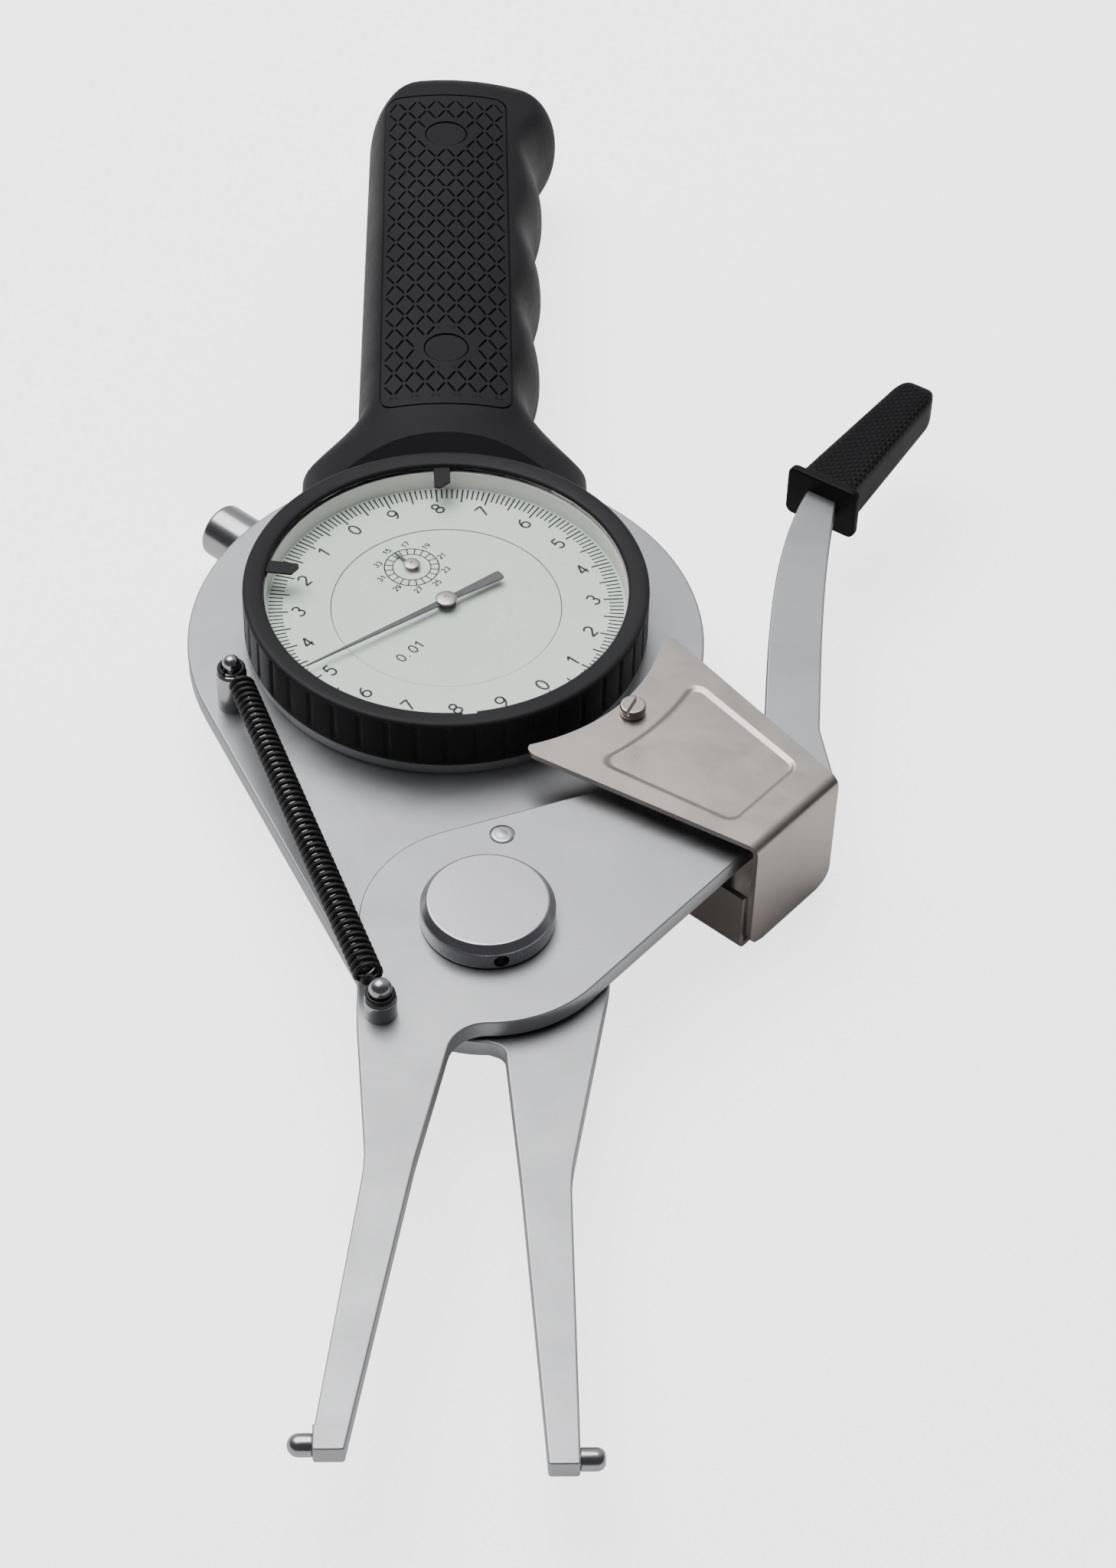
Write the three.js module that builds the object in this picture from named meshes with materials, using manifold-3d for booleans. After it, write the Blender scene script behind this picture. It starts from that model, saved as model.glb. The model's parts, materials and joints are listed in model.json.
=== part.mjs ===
// Internal dial caliper: a fixed jaw plate and a swinging jaw plate on one pivot, a dial
// indicator set in the head, a pistol-style handle, and a trigger lever that closes the jaws.
// Millimetres. The origin is the dial's axis at the resting plane; +X is to the right,
// +Y runs towards the handle, +Z comes out of the dial.
import * as THREE from 'three';
import { mergeVertices } from 'three/addons/utils/BufferGeometryUtils.js';
import Module from 'manifold-3d';

const wasm = await Module();
wasm.setup();

// Common fits and resolution
const RUN_GAP = 0.08;          // radial clearance of a turning or sliding fit
const FIT_GAP = 0.05;          // clearance of a pressed or screwed-in piece
const SEAT_GAP = 0.2;          // clearance under a head or a cap
const OVERRUN = 2;             // how far a cutting tool runs past the faces that it cuts
const FINE_SEGMENTS = 40;
const ROUND_SEGMENTS = 20;
const SMALL_SEGMENTS = 12;
const ARC_STEP = THREE.MathUtils.degToRad(15);

// Heights of the two jaw plates above the resting plane
const PLATE_THICKNESS = 2.7;
const MAIN_PLATE_BOTTOM = 10.8;
const MAIN_PLATE_TOP = MAIN_PLATE_BOTTOM + PLATE_THICKNESS;
const PLATE_GAP = 0.5;
const ARM_BOTTOM = MAIN_PLATE_TOP + PLATE_GAP;
const ARM_TOP = ARM_BOTTOM + PLATE_THICKNESS;

// Indicator case, whose radius sets the sizes of all that surrounds it
const CASE_RADIUS = 25.2;
const CASE_WALL = 2.4;
const CASE_UPPER_WALL = 1.5;
const CASE_BORE = CASE_RADIUS - CASE_WALL;
const CASE_UPPER_BORE = CASE_RADIUS - CASE_UPPER_WALL;
const FLANGE_PROUD = 2.1;
const CASE_FLANGE_RADIUS = CASE_RADIUS + FLANGE_PROUD;
const BEZEL_PROUD = 0.5;       // of the bezel over the case's flange
const BEZEL_RADIUS = CASE_FLANGE_RADIUS + BEZEL_PROUD;
const HEAD_MARGIN = 8.4;       // of the plate round the case's flange
const HEAD_RADIUS = CASE_FLANGE_RADIUS + HEAD_MARGIN;

// Pivot, swing and jaws
const PIVOT_X = 5.2;
const PIVOT_CLEARANCE = 20.4;  // from the head's edge
const PIVOT_Y = -(HEAD_RADIUS + PIVOT_CLEARANCE);
const SWING = THREE.MathUtils.degToRad(14.72);
const JAW_REACH = 77.15;       // pivot to the contact points, along the legs
const JAW_OPENING = 35.48;     // over the contact points, at rest
const JAW_TRAVEL = 20.48;
const OPENING_PER_TURN = 2;    // of the main hand
const LEG_TIP_MARGIN = 1.45;   // of the legs past the contacts
const LEG_END = JAW_REACH + LEG_TIP_MARGIN;
const LEG_TIP_WIDTH = 3.6;
const CONTACT_RADIUS = 1.35;
const CONTACT_LENGTH = 2.85;
const CONTACT_STUD_RADIUS = 0.7;
const CONTACT_STUD_LENGTH = 1.8;
const CONTACT_TIP_RADIUS = 0.5;

// Head plate and its tang
const HUB_RADIUS = 17.6;       // main plate round the pivot
const CROTCH_DROP = 18.4;      // pivot to the main plate's edge between the legs
const TANG_WIDTH = 16;
const TANG_FILLET = 3;
const PLATE_CORNER = 0.4;

// Swinging plate
const ARM_BACK_RADIUS = 16.3;
const ARM_FRONT_RADIUS = 17.2;
const ARM_BACK_ANGLE = THREE.MathUtils.degToRad(20);
const ARM_FRONT_ANGLE = THREE.MathUtils.degToRad(48.3);
const LEVER_WIDTH = 7.4;
const TONGUE_WIDTH = 4.6;
const TONGUE_LENGTH = 14;
const GRIP_DIRECTION = THREE.MathUtils.degToRad(54.9);

// Pivot hardware
const PIVOT_RADIUS = 4;
const PIVOT_HEAD_RADIUS = 7.5;
const PIVOT_HEAD_HEIGHT = 2.4;
const PIVOT_CHAMFER = 0.5;
const WASHER_RADIUS = 8;
const KNOB_RADIUS = 8.6;
const KNOB_TOP_RADIUS = 7.75;
const KNOB_HEIGHT = 3.5;
const KNOB_CHAMFER = 1.1;
const KNOB_ROOF = 1.2;
const KNOB_HOLE_RADIUS = 1;
const KNOB_HOLE_DEPTH = 2.4;
const KNOB_HOLE_ANGLE = THREE.MathUtils.degToRad(-79);

// Stop pin, which runs in a slot of the main plate
const STOP_RADIUS = 1.5;
const STOP_X = 2;
const STOP_Y = 14.7;
const STOP_PROUD = 0.15;
const STOP_REACH = 2;

// Indicator body
const INDICATOR_AXIS = THREE.MathUtils.degToRad(138);   // from the stem towards the rear cap
const STEM_RADIUS = 4;
const SPINDLE_Z = 6.5;
const CASE_FLANGE_TOP = 15.15;
const CASE_NECK_TOP = 17.3;
const BACK_THICKNESS = 1.5;
const BACK_SCREW_RADIUS = 1.3;
const BACK_SCREW_CIRCLE = 18;
const BACK_SCREW_COUNT = 4;
const BACK_SCREW_SINK = 0.25;
const STEM_START = CASE_RADIUS + SEAT_GAP;
const STEM_LENGTH = 4.2;
const STEM_END = STEM_START + STEM_LENGTH;
const CAP_LENGTH = 18.8;
const CAP_END = STEM_START + CAP_LENGTH;
const CAP_WALL = 1.4;
const CAP_CHAMFER = 0.5;
const STUB_THREAD_RADIUS = 3.2;
const STUB_THREAD_LENGTH = 3;

// Spindle, rack and anvil
const SPINDLE_RADIUS = 2;
const SPINDLE_BACK = 31.5;
const CONTACT_CLEARANCE = 22.1;                            // from the case
const CONTACT_AT_REST = CASE_RADIUS + CONTACT_CLEARANCE;   // from the dial's axis
const POINT_LENGTH = 7.5;
const SPINDLE_FRONT = CONTACT_AT_REST - POINT_LENGTH;
const POINT_RADIUS = 2.4;
const POINT_NECK = 1.2;
const POINT_TIP_RADIUS = 1.2;
const ANVIL_RADIUS = 2;
const ANVIL_BOTTOM = 3.6;
const ANVIL_GAP = 0.3;

// Gear train: two wheels on a centre pinion, and a rack pinion
const ARBOR_DISTANCE = 9.3;
const ARBOR_SPREAD = THREE.MathUtils.degToRad(16.9);    // to each side of the spindle's line
const WHEEL_TEETH = 60;
const PINION_TEETH = 6;
const RACK_PINION_TEETH = 12;
const TOOTH_TIP = 0.1;
const TOOTH_ROOT = 0.22;
const RACK_TIP = 0.13;
const RACK_ROOT = 0.26;
const TOOTH_WIDTH_SHARE = 0.34;
const WHEEL_THICKNESS = 0.6;
const DRIVE_WHEEL_Z = 9.5;
const COUNTER_WHEEL_Z = 11.4;
const ARBOR_RADIUS = 0.6;
const ARBOR_PIVOT_RADIUS = 0.45;
const MOVEMENT_PLATE_Z = 12.8;
const MOVEMENT_PLATE_THICKNESS = 1;
const BRIDGE_Z = 10.5;
const BRIDGE_THICKNESS = 0.5;
const BRIDGE_LIP_Z = 8.75;
const BRIDGE_PILLAR_RADIUS = 1.5;
const BRIDGE_NEAR_X = 6;
const BRIDGE_NEAR_Y = -4;
const BRIDGE_FAR_X = -13.4;
const BRIDGE_FAR_Y = -1.5;
const PIVOT_HOLE_DEPTH = 0.8;
const BUSH_RADIUS = 1.5;

// Dial, bezel and crystal
const DIAL_TOP = 18.5;
const DIAL_THICKNESS = 0.45;
const INNER_DIAL_RADIUS = 15.8;
const DIAL_RING_BORE = INNER_DIAL_RADIUS + 2 * FIT_GAP;
const DIAL_RING_RADIUS = CASE_RADIUS;
const SUB_DIAL_ANGLE = INDICATOR_AXIS - ARBOR_SPREAD;
const BEZEL_BOTTOM = 15.35;
const BEZEL_TOP = 23.1;
const BEZEL_LIP = 0.2;         // of the rim over the crystal
const BEZEL_OPENING = CASE_RADIUS - BEZEL_LIP;
const BEZEL_SHOULDER_WIDTH = 0.9;
const BEZEL_RIM_RADIUS = BEZEL_RADIUS - BEZEL_SHOULDER_WIDTH;
const BEZEL_SHOULDER = 0.8;
const NECK_PROUD = 0.15;
const NECK_RADIUS = CASE_RADIUS + NECK_PROUD;
const BEZEL_BORE = NECK_RADIUS + FIT_GAP * 2;
const BEZEL_LEDGE = 0.8;       // that carries the dial ring
const BEZEL_LEDGE_BORE = CASE_RADIUS - BEZEL_LEDGE;
const BEZEL_LEDGE_BOTTOM = 17.5;
const CRYSTAL_BOTTOM = 21.4;
const CRYSTAL_THICKNESS = 0.6;
const MARKER_GROOVE_DEPTH = 0.5;
const MARKER_GROOVE_RADIUS = CASE_RADIUS + MARKER_GROOVE_DEPTH;
const MARKER_GROOVE_TOP = 22.65;
const MARKER_THICKNESS = 0.5;
const MARKER_WIDTH = 2.1;
const MARKER_LENGTH = 4.9;
const MARKER_TIP = MARKER_GROOVE_RADIUS - MARKER_LENGTH;
const MARKER_ANGLES = { limit_marker_upper: 91.5, limit_marker_left: 170.5 };
const SPACER_WALL = 0.5;

// Hands
const MAIN_HAND_Z = 19.45;
const HAND_THICKNESS = 0.25;
const MAIN_HAND_ANGLE = THREE.MathUtils.degToRad(214.8);
const MAIN_HAND_CLEARANCE = 2.3;                           // inside the dial ring's edge
const MAIN_HAND_TIP = DIAL_RING_RADIUS - MAIN_HAND_CLEARANCE;
const MAIN_HAND_TAIL = 9.3;
const MAIN_HAND_ROOT_HALF = 0.55;
const MAIN_HAND_TAIL_HALF = 0.85;
const MAIN_HAND_TIP_HALF = 0.08;
const HAND_EYE_RADIUS = 1.15;
const SLEEVE_RADIUS = 1.05;
const CAP_RADIUS = 1.5;
const CAP_TOP = 20.15;
const SMALL_HAND_Z = 18.7;
const SMALL_HAND_LENGTH = 3.4;
const SMALL_HAND_TAIL = 1.4;
const SMALL_HAND_ANGLE = THREE.MathUtils.degToRad(133.5);
const SMALL_HAND_HALF = 0.22;
const SMALL_CAP_RADIUS = 1.15;
const SMALL_CAP_TOP = 19.3;

// Sheet cover over the spindle, and the tray below it
const COVER_AXIS = INDICATOR_AXIS - Math.PI;
const SHEET = 0.8;
const COVER_TOP = 20;
const COVER_CLEARANCE = 3.2;   // of the cover's edge round the bezel
const COVER_ARC_RADIUS = BEZEL_RADIUS + COVER_CLEARANCE;
const COVER_WIDE_HALF = 15.2;
const COVER_WING = 4.4;        // of the wings past the middle of that edge
const COVER_WIDE_AT = COVER_ARC_RADIUS - COVER_WING;
const COVER_NARROW_HALF = 8.5;
const COVER_OVERHANG = 14;     // past the spindle's contact
const COVER_END = CONTACT_AT_REST + COVER_OVERHANG;
const COVER_END_BOTTOM = 0.9;
const COVER_TIP_ROUND = 2;
const COVER_CORNER_ROUND = 2.6;
const COVER_POST_CLEARANCE = 5.9;
const COVER_POST_AT = CASE_FLANGE_RADIUS + COVER_POST_CLEARANCE;
const COVER_POST_RADIUS = 2;
const COVER_SCREW_HEAD_RADIUS = 1.75;
const COVER_SCREW_HEAD_HEIGHT = 1.5;
const COVER_SCREW_RADIUS = 0.9;
const SCREW_SLOT_WIDTH = 0.45;
const SCREW_SLOT_DEPTH = 0.7;
const PANEL_HEIGHT = 0.35;
const PANEL_INSET = 2.6;
const PANEL_MARGIN = 5.7;      // of the raised panel before the cover's bend
const PANEL_LENGTH = 20;
const PANEL_END = COVER_END - PANEL_MARGIN;
const PANEL_START = PANEL_END - PANEL_LENGTH;
const PANEL_WIDE_HALF = 10;
const PANEL_NARROW_HALF = 6.7;
const TRAY_HALF = 9.4;
const TRAY_BOTTOM = 0.7;
const TRAY_CLEARANCE = 0.8;    // of the tray's edge round the case
const TRAY_START_RADIUS = CASE_RADIUS + TRAY_CLEARANCE;
const TRAY_END_GAP = 1.1;      // to the cover's flap
const TRAY_END = COVER_END - TRAY_END_GAP;
const TRAY_WALL_TOP = 10.4;
const TRAY_NOSE = 3;
const PILLAR_INSET = 5;
const PILLAR_AT = TRAY_START_RADIUS + PILLAR_INSET;
const PILLAR_HALF_SPREAD = 6.3;
const PILLAR_RADIUS = 2.1;
const PILLAR_BORE = 1;
const TRAY_SCREW_HEAD = 1.9;
const TRAY_SCREW_HEAD_HEIGHT = 0.5;
const TRAY_SCREW_LENGTH = 6;

// Tension spring and its posts
const POST_RADIUS = 1.8;
const POST_NECK_RADIUS = 1.1;
const POST_STUD_RADIUS = 1.25;
const POST_STUD_LENGTH = 2.2;
const POST_TOP = 22;
const NECK_HALF_HEIGHT = 0.7;
const SPRING_Z = 19.3;
const UPPER_POST_CLEARANCE = 4.635;
const UPPER_POST_ANGLE = THREE.MathUtils.degToRad(-154.4);
const UPPER_POST_X = (CASE_FLANGE_RADIUS + UPPER_POST_CLEARANCE) * Math.cos(UPPER_POST_ANGLE);
const UPPER_POST_Y = (CASE_FLANGE_RADIUS + UPPER_POST_CLEARANCE) * Math.sin(UPPER_POST_ANGLE);
const LOWER_POST_X = -13.3;    // from the pivot
const LOWER_POST_Y = -15.4;
const SPRING_WIRE_RADIUS = 0.44;
const SPRING_COIL_RADIUS = 1.4;
const SPRING_CURLS = 35;
const SPRING_LEAD = 1.9;       // from a hook's ring to the first curl
const SPRING_SHIFT = 1.2;      // of the coil's upper end, towards the dial
const HOOK_RADIUS = 1.75;
const HOOK_SWEEP = THREE.MathUtils.degToRad(300);
const CURL_STEPS = 8;
const HOOK_STEPS = 12;
const WIRE_SIDES = 5;

// Trigger grip
const FLANGE_WIDTH = 11.4;
const FLANGE_HEIGHT = 8.3;
const FLANGE_THICKNESS = 1.3;
const FLANGE_ROUND = 1;
const GRIP_LENGTH = 29.6;
const GRIP_BASE_WIDTH = 8.9;
const GRIP_TIP_WIDTH = 6.4;
const GRIP_HEIGHT = 7.4;
const GRIP_TAPER_SHARE = 0.2;
const GRIP_BEVEL = 0.8;

// Handle, laid out from the bezel's edge to its far end
const FRONT_NEAR_GAP = 3.4;
const FRONT_NEAR_RADIUS = BEZEL_RADIUS + FRONT_NEAR_GAP;
const BACK_NEAR_GAP = 3.8;
const BACK_NEAR_RADIUS = CASE_RADIUS + BACK_NEAR_GAP;
const HANDLE_NEAR_OVERLAP = 4;
const HANDLE_NEAR = BACK_NEAR_RADIUS - HANDLE_NEAR_OVERLAP;
const PANEL_NEAR_MARGIN = 6.2;
const HANDLE_PANEL_START = FRONT_NEAR_RADIUS + PANEL_NEAR_MARGIN;
const PLUG_NEAR_MARGIN = 13.1;
const PLUG_SPACING = 53.8;
const PLUG_LOWER = HANDLE_PANEL_START + PLUG_NEAR_MARGIN;
const PLUG_UPPER = PLUG_LOWER + PLUG_SPACING;
const PLUG_PLACES = { upper: PLUG_UPPER, lower: PLUG_LOWER };
const PLUG_FAR_MARGIN = 10.7;
const HANDLE_PANEL_END = PLUG_UPPER + PLUG_FAR_MARGIN;
const TANG_PAST_PANEL = 1;
const TANG_END = HANDLE_PANEL_END + TANG_PAST_PANEL;
const PANEL_FAR_MARGIN = 7.5;
const HANDLE_FAR = HANDLE_PANEL_END + PANEL_FAR_MARGIN;
const HANDLE_SPLIT = MAIN_PLATE_BOTTOM + PLATE_THICKNESS / 2;
const HANDLE_TOP = 23.6;
const HANDLE_LEFT = 13.15;
const HANDLE_LEFT_FAR = 12.2;
const HANDLE_RIGHT = 12.75;
const HANDLE_RIGHT_RISE = 2.5;
const GROOVE_PITCH = 20.2;
const GROOVE_DEPTH = 0.65;
const GROOVE_BACK = 27.1;      // from the far end to a groove's crest
const GROOVE_CREST = HANDLE_FAR - GROOVE_BACK;
const HOOK_BACK = 3.5;
const HOOK_CREST = HANDLE_FAR - HOOK_BACK;
const HOOK_RISE = 2.5;
const HOOK_SPREAD = 7.5;
const HANDLE_EDGE = 4;
const HANDLE_EDGE_POWER = 2.3;  // of the sections' rounding: 2 is an ellipse
const SHOULDER_LEFT = 20.85;
const SHOULDER_RIGHT = 20.4;
const SHOULDER_LENGTH = 7.8;
const SHOULDER_FULL_GAP = 2.2;
const SHOULDER_FULL = FRONT_NEAR_RADIUS + SHOULDER_FULL_GAP;
const SHOULDER_START = SHOULDER_FULL + SHOULDER_LENGTH;
const SHOULDER_POWER = 1.2;
const SHOULDER_EDGE = 18;
const HANDLE_END_LEFT_ROUND = 12;
const HANDLE_END_RIGHT_ROUND = 8.5;
const CAP_ROOM = 0.5;          // that the back shell leaves round the indicator's cap
const BACK_EDGE = 9.5;
const BACK_EDGE_POWER = 2;
const HANDLE_TOP_ROUND = 5;
const HANDLE_PANEL_HALF = 9.7;
const HANDLE_PANEL_DEPTH = 0.6;
const HANDLE_PANEL_ROUND = 2.2;
const PLUG_RADIUS = 3.2;
const PLUG_HEIGHT = 1.6;
const PLUG_PROUD = 0.25;
const HANDLE_SCREW_RADIUS = 1.6;
const HANDLE_SCREW_HEAD = 2.7;
const HANDLE_SCREW_HEAD_HEIGHT = 2;
const HANDLE_SCREW_END = 5;

// Materials
const steel = (color, roughness) =>
  new THREE.MeshStandardMaterial({ color, roughness, metalness: 1 });
const plastic = (color, roughness) =>
  new THREE.MeshStandardMaterial({ color, roughness, metalness: 0 });
const SATIN_CHROME = steel(0xb9bbc0, 0.42);
const BRIGHT_STEEL = steel(0xc9cacc, 0.2);
const NICKEL = steel(0xb5aca4, 0.3);
const CAST_CASE = steel(0x9a9ca0, 0.5);
const BRASS = steel(0xb08d4a, 0.35);
const BLACK_PLASTIC = plastic(0x1b1c1e, 0.55);
const BLACK_BEZEL = plastic(0x141516, 0.4);
const BLACK_WIRE = steel(0x17171a, 0.5);
const DIAL_PAINT = plastic(0xdfe8e0, 0.6);
const HAND_PAINT = plastic(0x33363a, 0.5);
const SPACER_PAINT = plastic(0xb9bab2, 0.6);
const GLASS = new THREE.MeshStandardMaterial({
  color: 0xffffff, roughness: 0.05, metalness: 0, transparent: true, opacity: 0.2,
});

// Shape helpers

/** Merges a geometry's vertices, drops empty triangles and turns its faces outwards. */
function tidy(geometry) {
  const bare = geometry.index ? geometry.toNonIndexed() : geometry.clone();
  for (const name of Object.keys(bare.attributes)) {
    if (name !== 'position') bare.deleteAttribute(name);
  }
  bare.morphAttributes = {};
  const merged = mergeVertices(bare, 1e-5);
  const index = merged.index.array;
  const position = merged.attributes.position;
  const kept = [];
  let volume = 0;
  const a = new THREE.Vector3();
  const b = new THREE.Vector3();
  const c = new THREE.Vector3();
  for (let i = 0; i < index.length; i += 3) {
    const [p, q, r] = [index[i], index[i + 1], index[i + 2]];
    if (p === q || q === r || r === p) continue;
    kept.push(p, q, r);
    a.fromBufferAttribute(position, p);
    b.fromBufferAttribute(position, q);
    c.fromBufferAttribute(position, r);
    volume += a.dot(b.cross(c));
  }
  if (volume < 0) {
    for (let i = 0; i < kept.length; i += 3) [kept[i], kept[i + 1]] = [kept[i + 1], kept[i]];
  }
  merged.setIndex(kept);
  return merged;
}

/** A geometry as a solid for cutting and joining. */
function solid(geometry) {
  const clean = tidy(geometry);
  return new wasm.Manifold(new wasm.Mesh({
    numProp: 3,
    vertProperties: new Float32Array(clean.attributes.position.array),
    triVerts: new Uint32Array(clean.index.array),
  }));
}

/** A solid back as a geometry. */
function surface(body) {
  const mesh = body.getMesh();
  const geometry = new THREE.BufferGeometry();
  geometry.setAttribute('position', new THREE.BufferAttribute(mesh.vertProperties, 3));
  geometry.setIndex(new THREE.BufferAttribute(mesh.triVerts, 1));
  return geometry;
}

const cut = (body, ...tools) =>
  surface(tools.reduce((rest, tool) => rest.subtract(solid(tool)), solid(body)));
const join = (...pieces) =>
  surface(pieces.slice(1).reduce((sum, piece) => sum.add(solid(piece)), solid(pieces[0])));

const polar = (radius, angle, cx = 0, cy = 0) =>
  [cx + radius * Math.cos(angle), cy + radius * Math.sin(angle)];

/** Points of an arc about (cx, cy), ends included. */
function arc(cx, cy, radius, from, to, step = ARC_STEP) {
  const steps = Math.max(2, Math.ceil(Math.abs(to - from) / step));
  return Array.from({ length: steps + 1 }, (_, i) =>
    polar(radius, from + ((to - from) * i) / steps, cx, cy));
}

/** An outline whose corners [x, y, radius] are rounded; a corner without a radius stays. */
function rounded(corners) {
  const outline = [];
  corners.forEach(([x, y, radius = 0], i) => {
    if (radius === 0) {
      outline.push([x, y]);
      return;
    }
    const corner = new THREE.Vector2(x, y);
    const before = corners[(i + corners.length - 1) % corners.length];
    const after = corners[(i + 1) % corners.length];
    const back = new THREE.Vector2(before[0] - x, before[1] - y);
    const ahead = new THREE.Vector2(after[0] - x, after[1] - y);
    const half = Math.abs(back.angleTo(ahead)) / 2;
    const reach = Math.min(radius / Math.tan(half), back.length() / 2, ahead.length() / 2);
    const size = reach * Math.tan(half);
    const start = corner.clone().addScaledVector(back.normalize(), reach);
    const middle = back.clone().add(ahead.normalize()).normalize();
    const centre = corner.clone().addScaledVector(middle, size / Math.sin(half));
    const from = Math.atan2(start.y - centre.y, start.x - centre.x);
    const turn = Math.sign(back.x * ahead.y - back.y * ahead.x);
    outline.push(...arc(centre.x, centre.y, size, from, from + turn * (Math.PI - 2 * half) * -1));
  });
  return outline;
}

const toShape = (outline) => new THREE.Shape(outline.map(([x, y]) => new THREE.Vector2(x, y)));

/** A prism of an outline, from z = bottom to z = top, with holes through it. */
function prism(outline, bottom, top, holes = []) {
  const shape = toShape(outline);
  for (const hole of holes) {
    shape.holes.push(new THREE.Path(hole.map(([x, y]) => new THREE.Vector2(x, y))));
  }
  const geometry = new THREE.ExtrudeGeometry(shape, { depth: top - bottom, bevelEnabled: false });
  return geometry.translate(0, 0, bottom);
}

/** Outline of a circle, for a disc or a hole. */
function circle(radius, cx = 0, cy = 0, segments = ROUND_SEGMENTS) {
  return Array.from({ length: segments }, (_, i) =>
    polar(radius, (2 * Math.PI * i) / segments, cx, cy));
}

const disc = (radius, bottom, top, cx = 0, cy = 0, segments = ROUND_SEGMENTS) =>
  prism(circle(radius, cx, cy, segments), bottom, top);

const block = (x0, x1, y0, y1, z0, z1) =>
  new THREE.BoxGeometry(x1 - x0, y1 - y0, z1 - z0)
    .translate((x0 + x1) / 2, (y0 + y1) / 2, (z0 + z1) / 2);

/** A turned piece about Z from a profile of [radius, height] points. */
function turned(profile, segments = ROUND_SEGMENTS) {
  const closed = profile[0][0] > 0 ? [...profile, profile[0]] : profile;
  const points = closed.map(([radius, z]) => new THREE.Vector2(radius, z));
  return new THREE.LatheGeometry(points, segments).rotateX(Math.PI / 2);
}

/** Turns a piece made about +Z so that it lies along a level direction, then places it. */
const lay = (geometry, angle, x, y, z) =>
  geometry.rotateY(Math.PI / 2).rotateZ(angle).translate(x, y, z);

const root = new THREE.Group();
const arm = new THREE.Group();
arm.position.set(PIVOT_X, PIVOT_Y, 0);
root.add(arm);

function piece(name, geometry, material, parent = root) {
  const mesh = new THREE.Mesh(tidy(geometry), material);
  mesh.name = name;
  parent.add(mesh);
  return mesh;
}

// The fixed plate: head disc, tang, pivot hub and right leg in one sheet

const pivotDistance = Math.hypot(PIVOT_X, PIVOT_Y);
const pivotBearing = Math.atan2(PIVOT_Y, PIVOT_X);
// Normal of the straight left side, which touches the head and the hub
const leftNormal = pivotBearing - Math.acos((HEAD_RADIUS - HUB_RADIUS) / pivotDistance);

const LEG_KNEE = 38.4;         // knees of the legs, from the pivot along the legs
const RIGHT_LEG_OUTER = JAW_OPENING / 2 - CONTACT_LENGTH;
const RIGHT_KNEE_INNER = 8.8;
const RIGHT_LEG_INNER_TOP = 7.2;
const RIGHT_LEG_TOP = 20.6;
const CROTCH_FILLET = 3;
const KNEE_ROUND = 30;

const mainOutline = () => {
  const halfTang = TANG_WIDTH / 2;
  const tangFoot = Math.sqrt(HEAD_RADIUS ** 2 - (halfTang + TANG_FILLET) ** 2);
  const headStart = COVER_AXIS + THREE.MathUtils.degToRad(13);
  const notch = polar(COVER_POST_AT + COVER_POST_RADIUS + 2 * SHEET, COVER_AXIS);
  const crotch = PIVOT_Y - CROTCH_DROP;
  return rounded([
    [RIGHT_LEG_OUTER, PIVOT_Y - LEG_END, PLATE_CORNER],
    [RIGHT_LEG_OUTER, PIVOT_Y - LEG_KNEE, KNEE_ROUND],
    [RIGHT_LEG_TOP, PIVOT_Y - PIVOT_HEAD_RADIUS, KNEE_ROUND],
    [RIGHT_LEG_TOP + SHEET, PIVOT_Y + HUB_RADIUS, KNEE_ROUND],
    [notch[0], notch[1], COVER_POST_RADIUS],
    ...arc(0, 0, HEAD_RADIUS, headStart, Math.atan2(tangFoot, halfTang + TANG_FILLET)),
    [halfTang, tangFoot + TANG_FILLET],
    [halfTang, TANG_END, TANG_FILLET],
    [-halfTang, TANG_END, TANG_FILLET],
    [-halfTang, tangFoot + TANG_FILLET],
    ...arc(0, 0, HEAD_RADIUS, Math.atan2(tangFoot, -halfTang - TANG_FILLET),
      leftNormal + 2 * Math.PI),
    ...arc(PIVOT_X, PIVOT_Y, HUB_RADIUS, leftNormal, -Math.PI / 2),
    [RIGHT_LEG_INNER_TOP, crotch, CROTCH_FILLET],
    [RIGHT_KNEE_INNER, PIVOT_Y - LEG_KNEE, KNEE_ROUND],
    [RIGHT_LEG_OUTER - LEG_TIP_WIDTH, PIVOT_Y - LEG_END, PLATE_CORNER],
  ]);
};

/** The slot that the stop pin runs in: two arcs about the pivot, closed by round ends. */
function stopSlot() {
  const reach = Math.hypot(STOP_X, STOP_Y);
  const start = Math.atan2(STOP_Y, STOP_X);
  const half = STOP_RADIUS + SEAT_GAP;
  const ends = [start, start + SWING].map((angle) => polar(reach, angle, PIVOT_X, PIVOT_Y));
  return [
    ...arc(PIVOT_X, PIVOT_Y, reach + half, start, start + SWING),
    ...arc(...ends[1], half, start + SWING, start + SWING + Math.PI, 2 * ARC_STEP).slice(1, -1),
    ...arc(PIVOT_X, PIVOT_Y, reach - half, start + SWING, start),
    ...arc(...ends[0], half, start + Math.PI, start + 2 * Math.PI, 2 * ARC_STEP).slice(1, -1),
  ].reverse();
}

const studHole = (radius, x, y, z, angle) =>
  lay(disc(radius, -CONTACT_STUD_LENGTH - OVERRUN, OVERRUN, 0, 0, SMALL_SEGMENTS), angle, x, y, z);

const CONTACT_Y = PIVOT_Y - JAW_REACH;
const MAIN_MIDDLE = MAIN_PLATE_BOTTOM + PLATE_THICKNESS / 2;
const ARM_MIDDLE = ARM_BOTTOM + PLATE_THICKNESS / 2;
const [coverPostX, coverPostY] = polar(COVER_POST_AT, COVER_AXIS);

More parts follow.
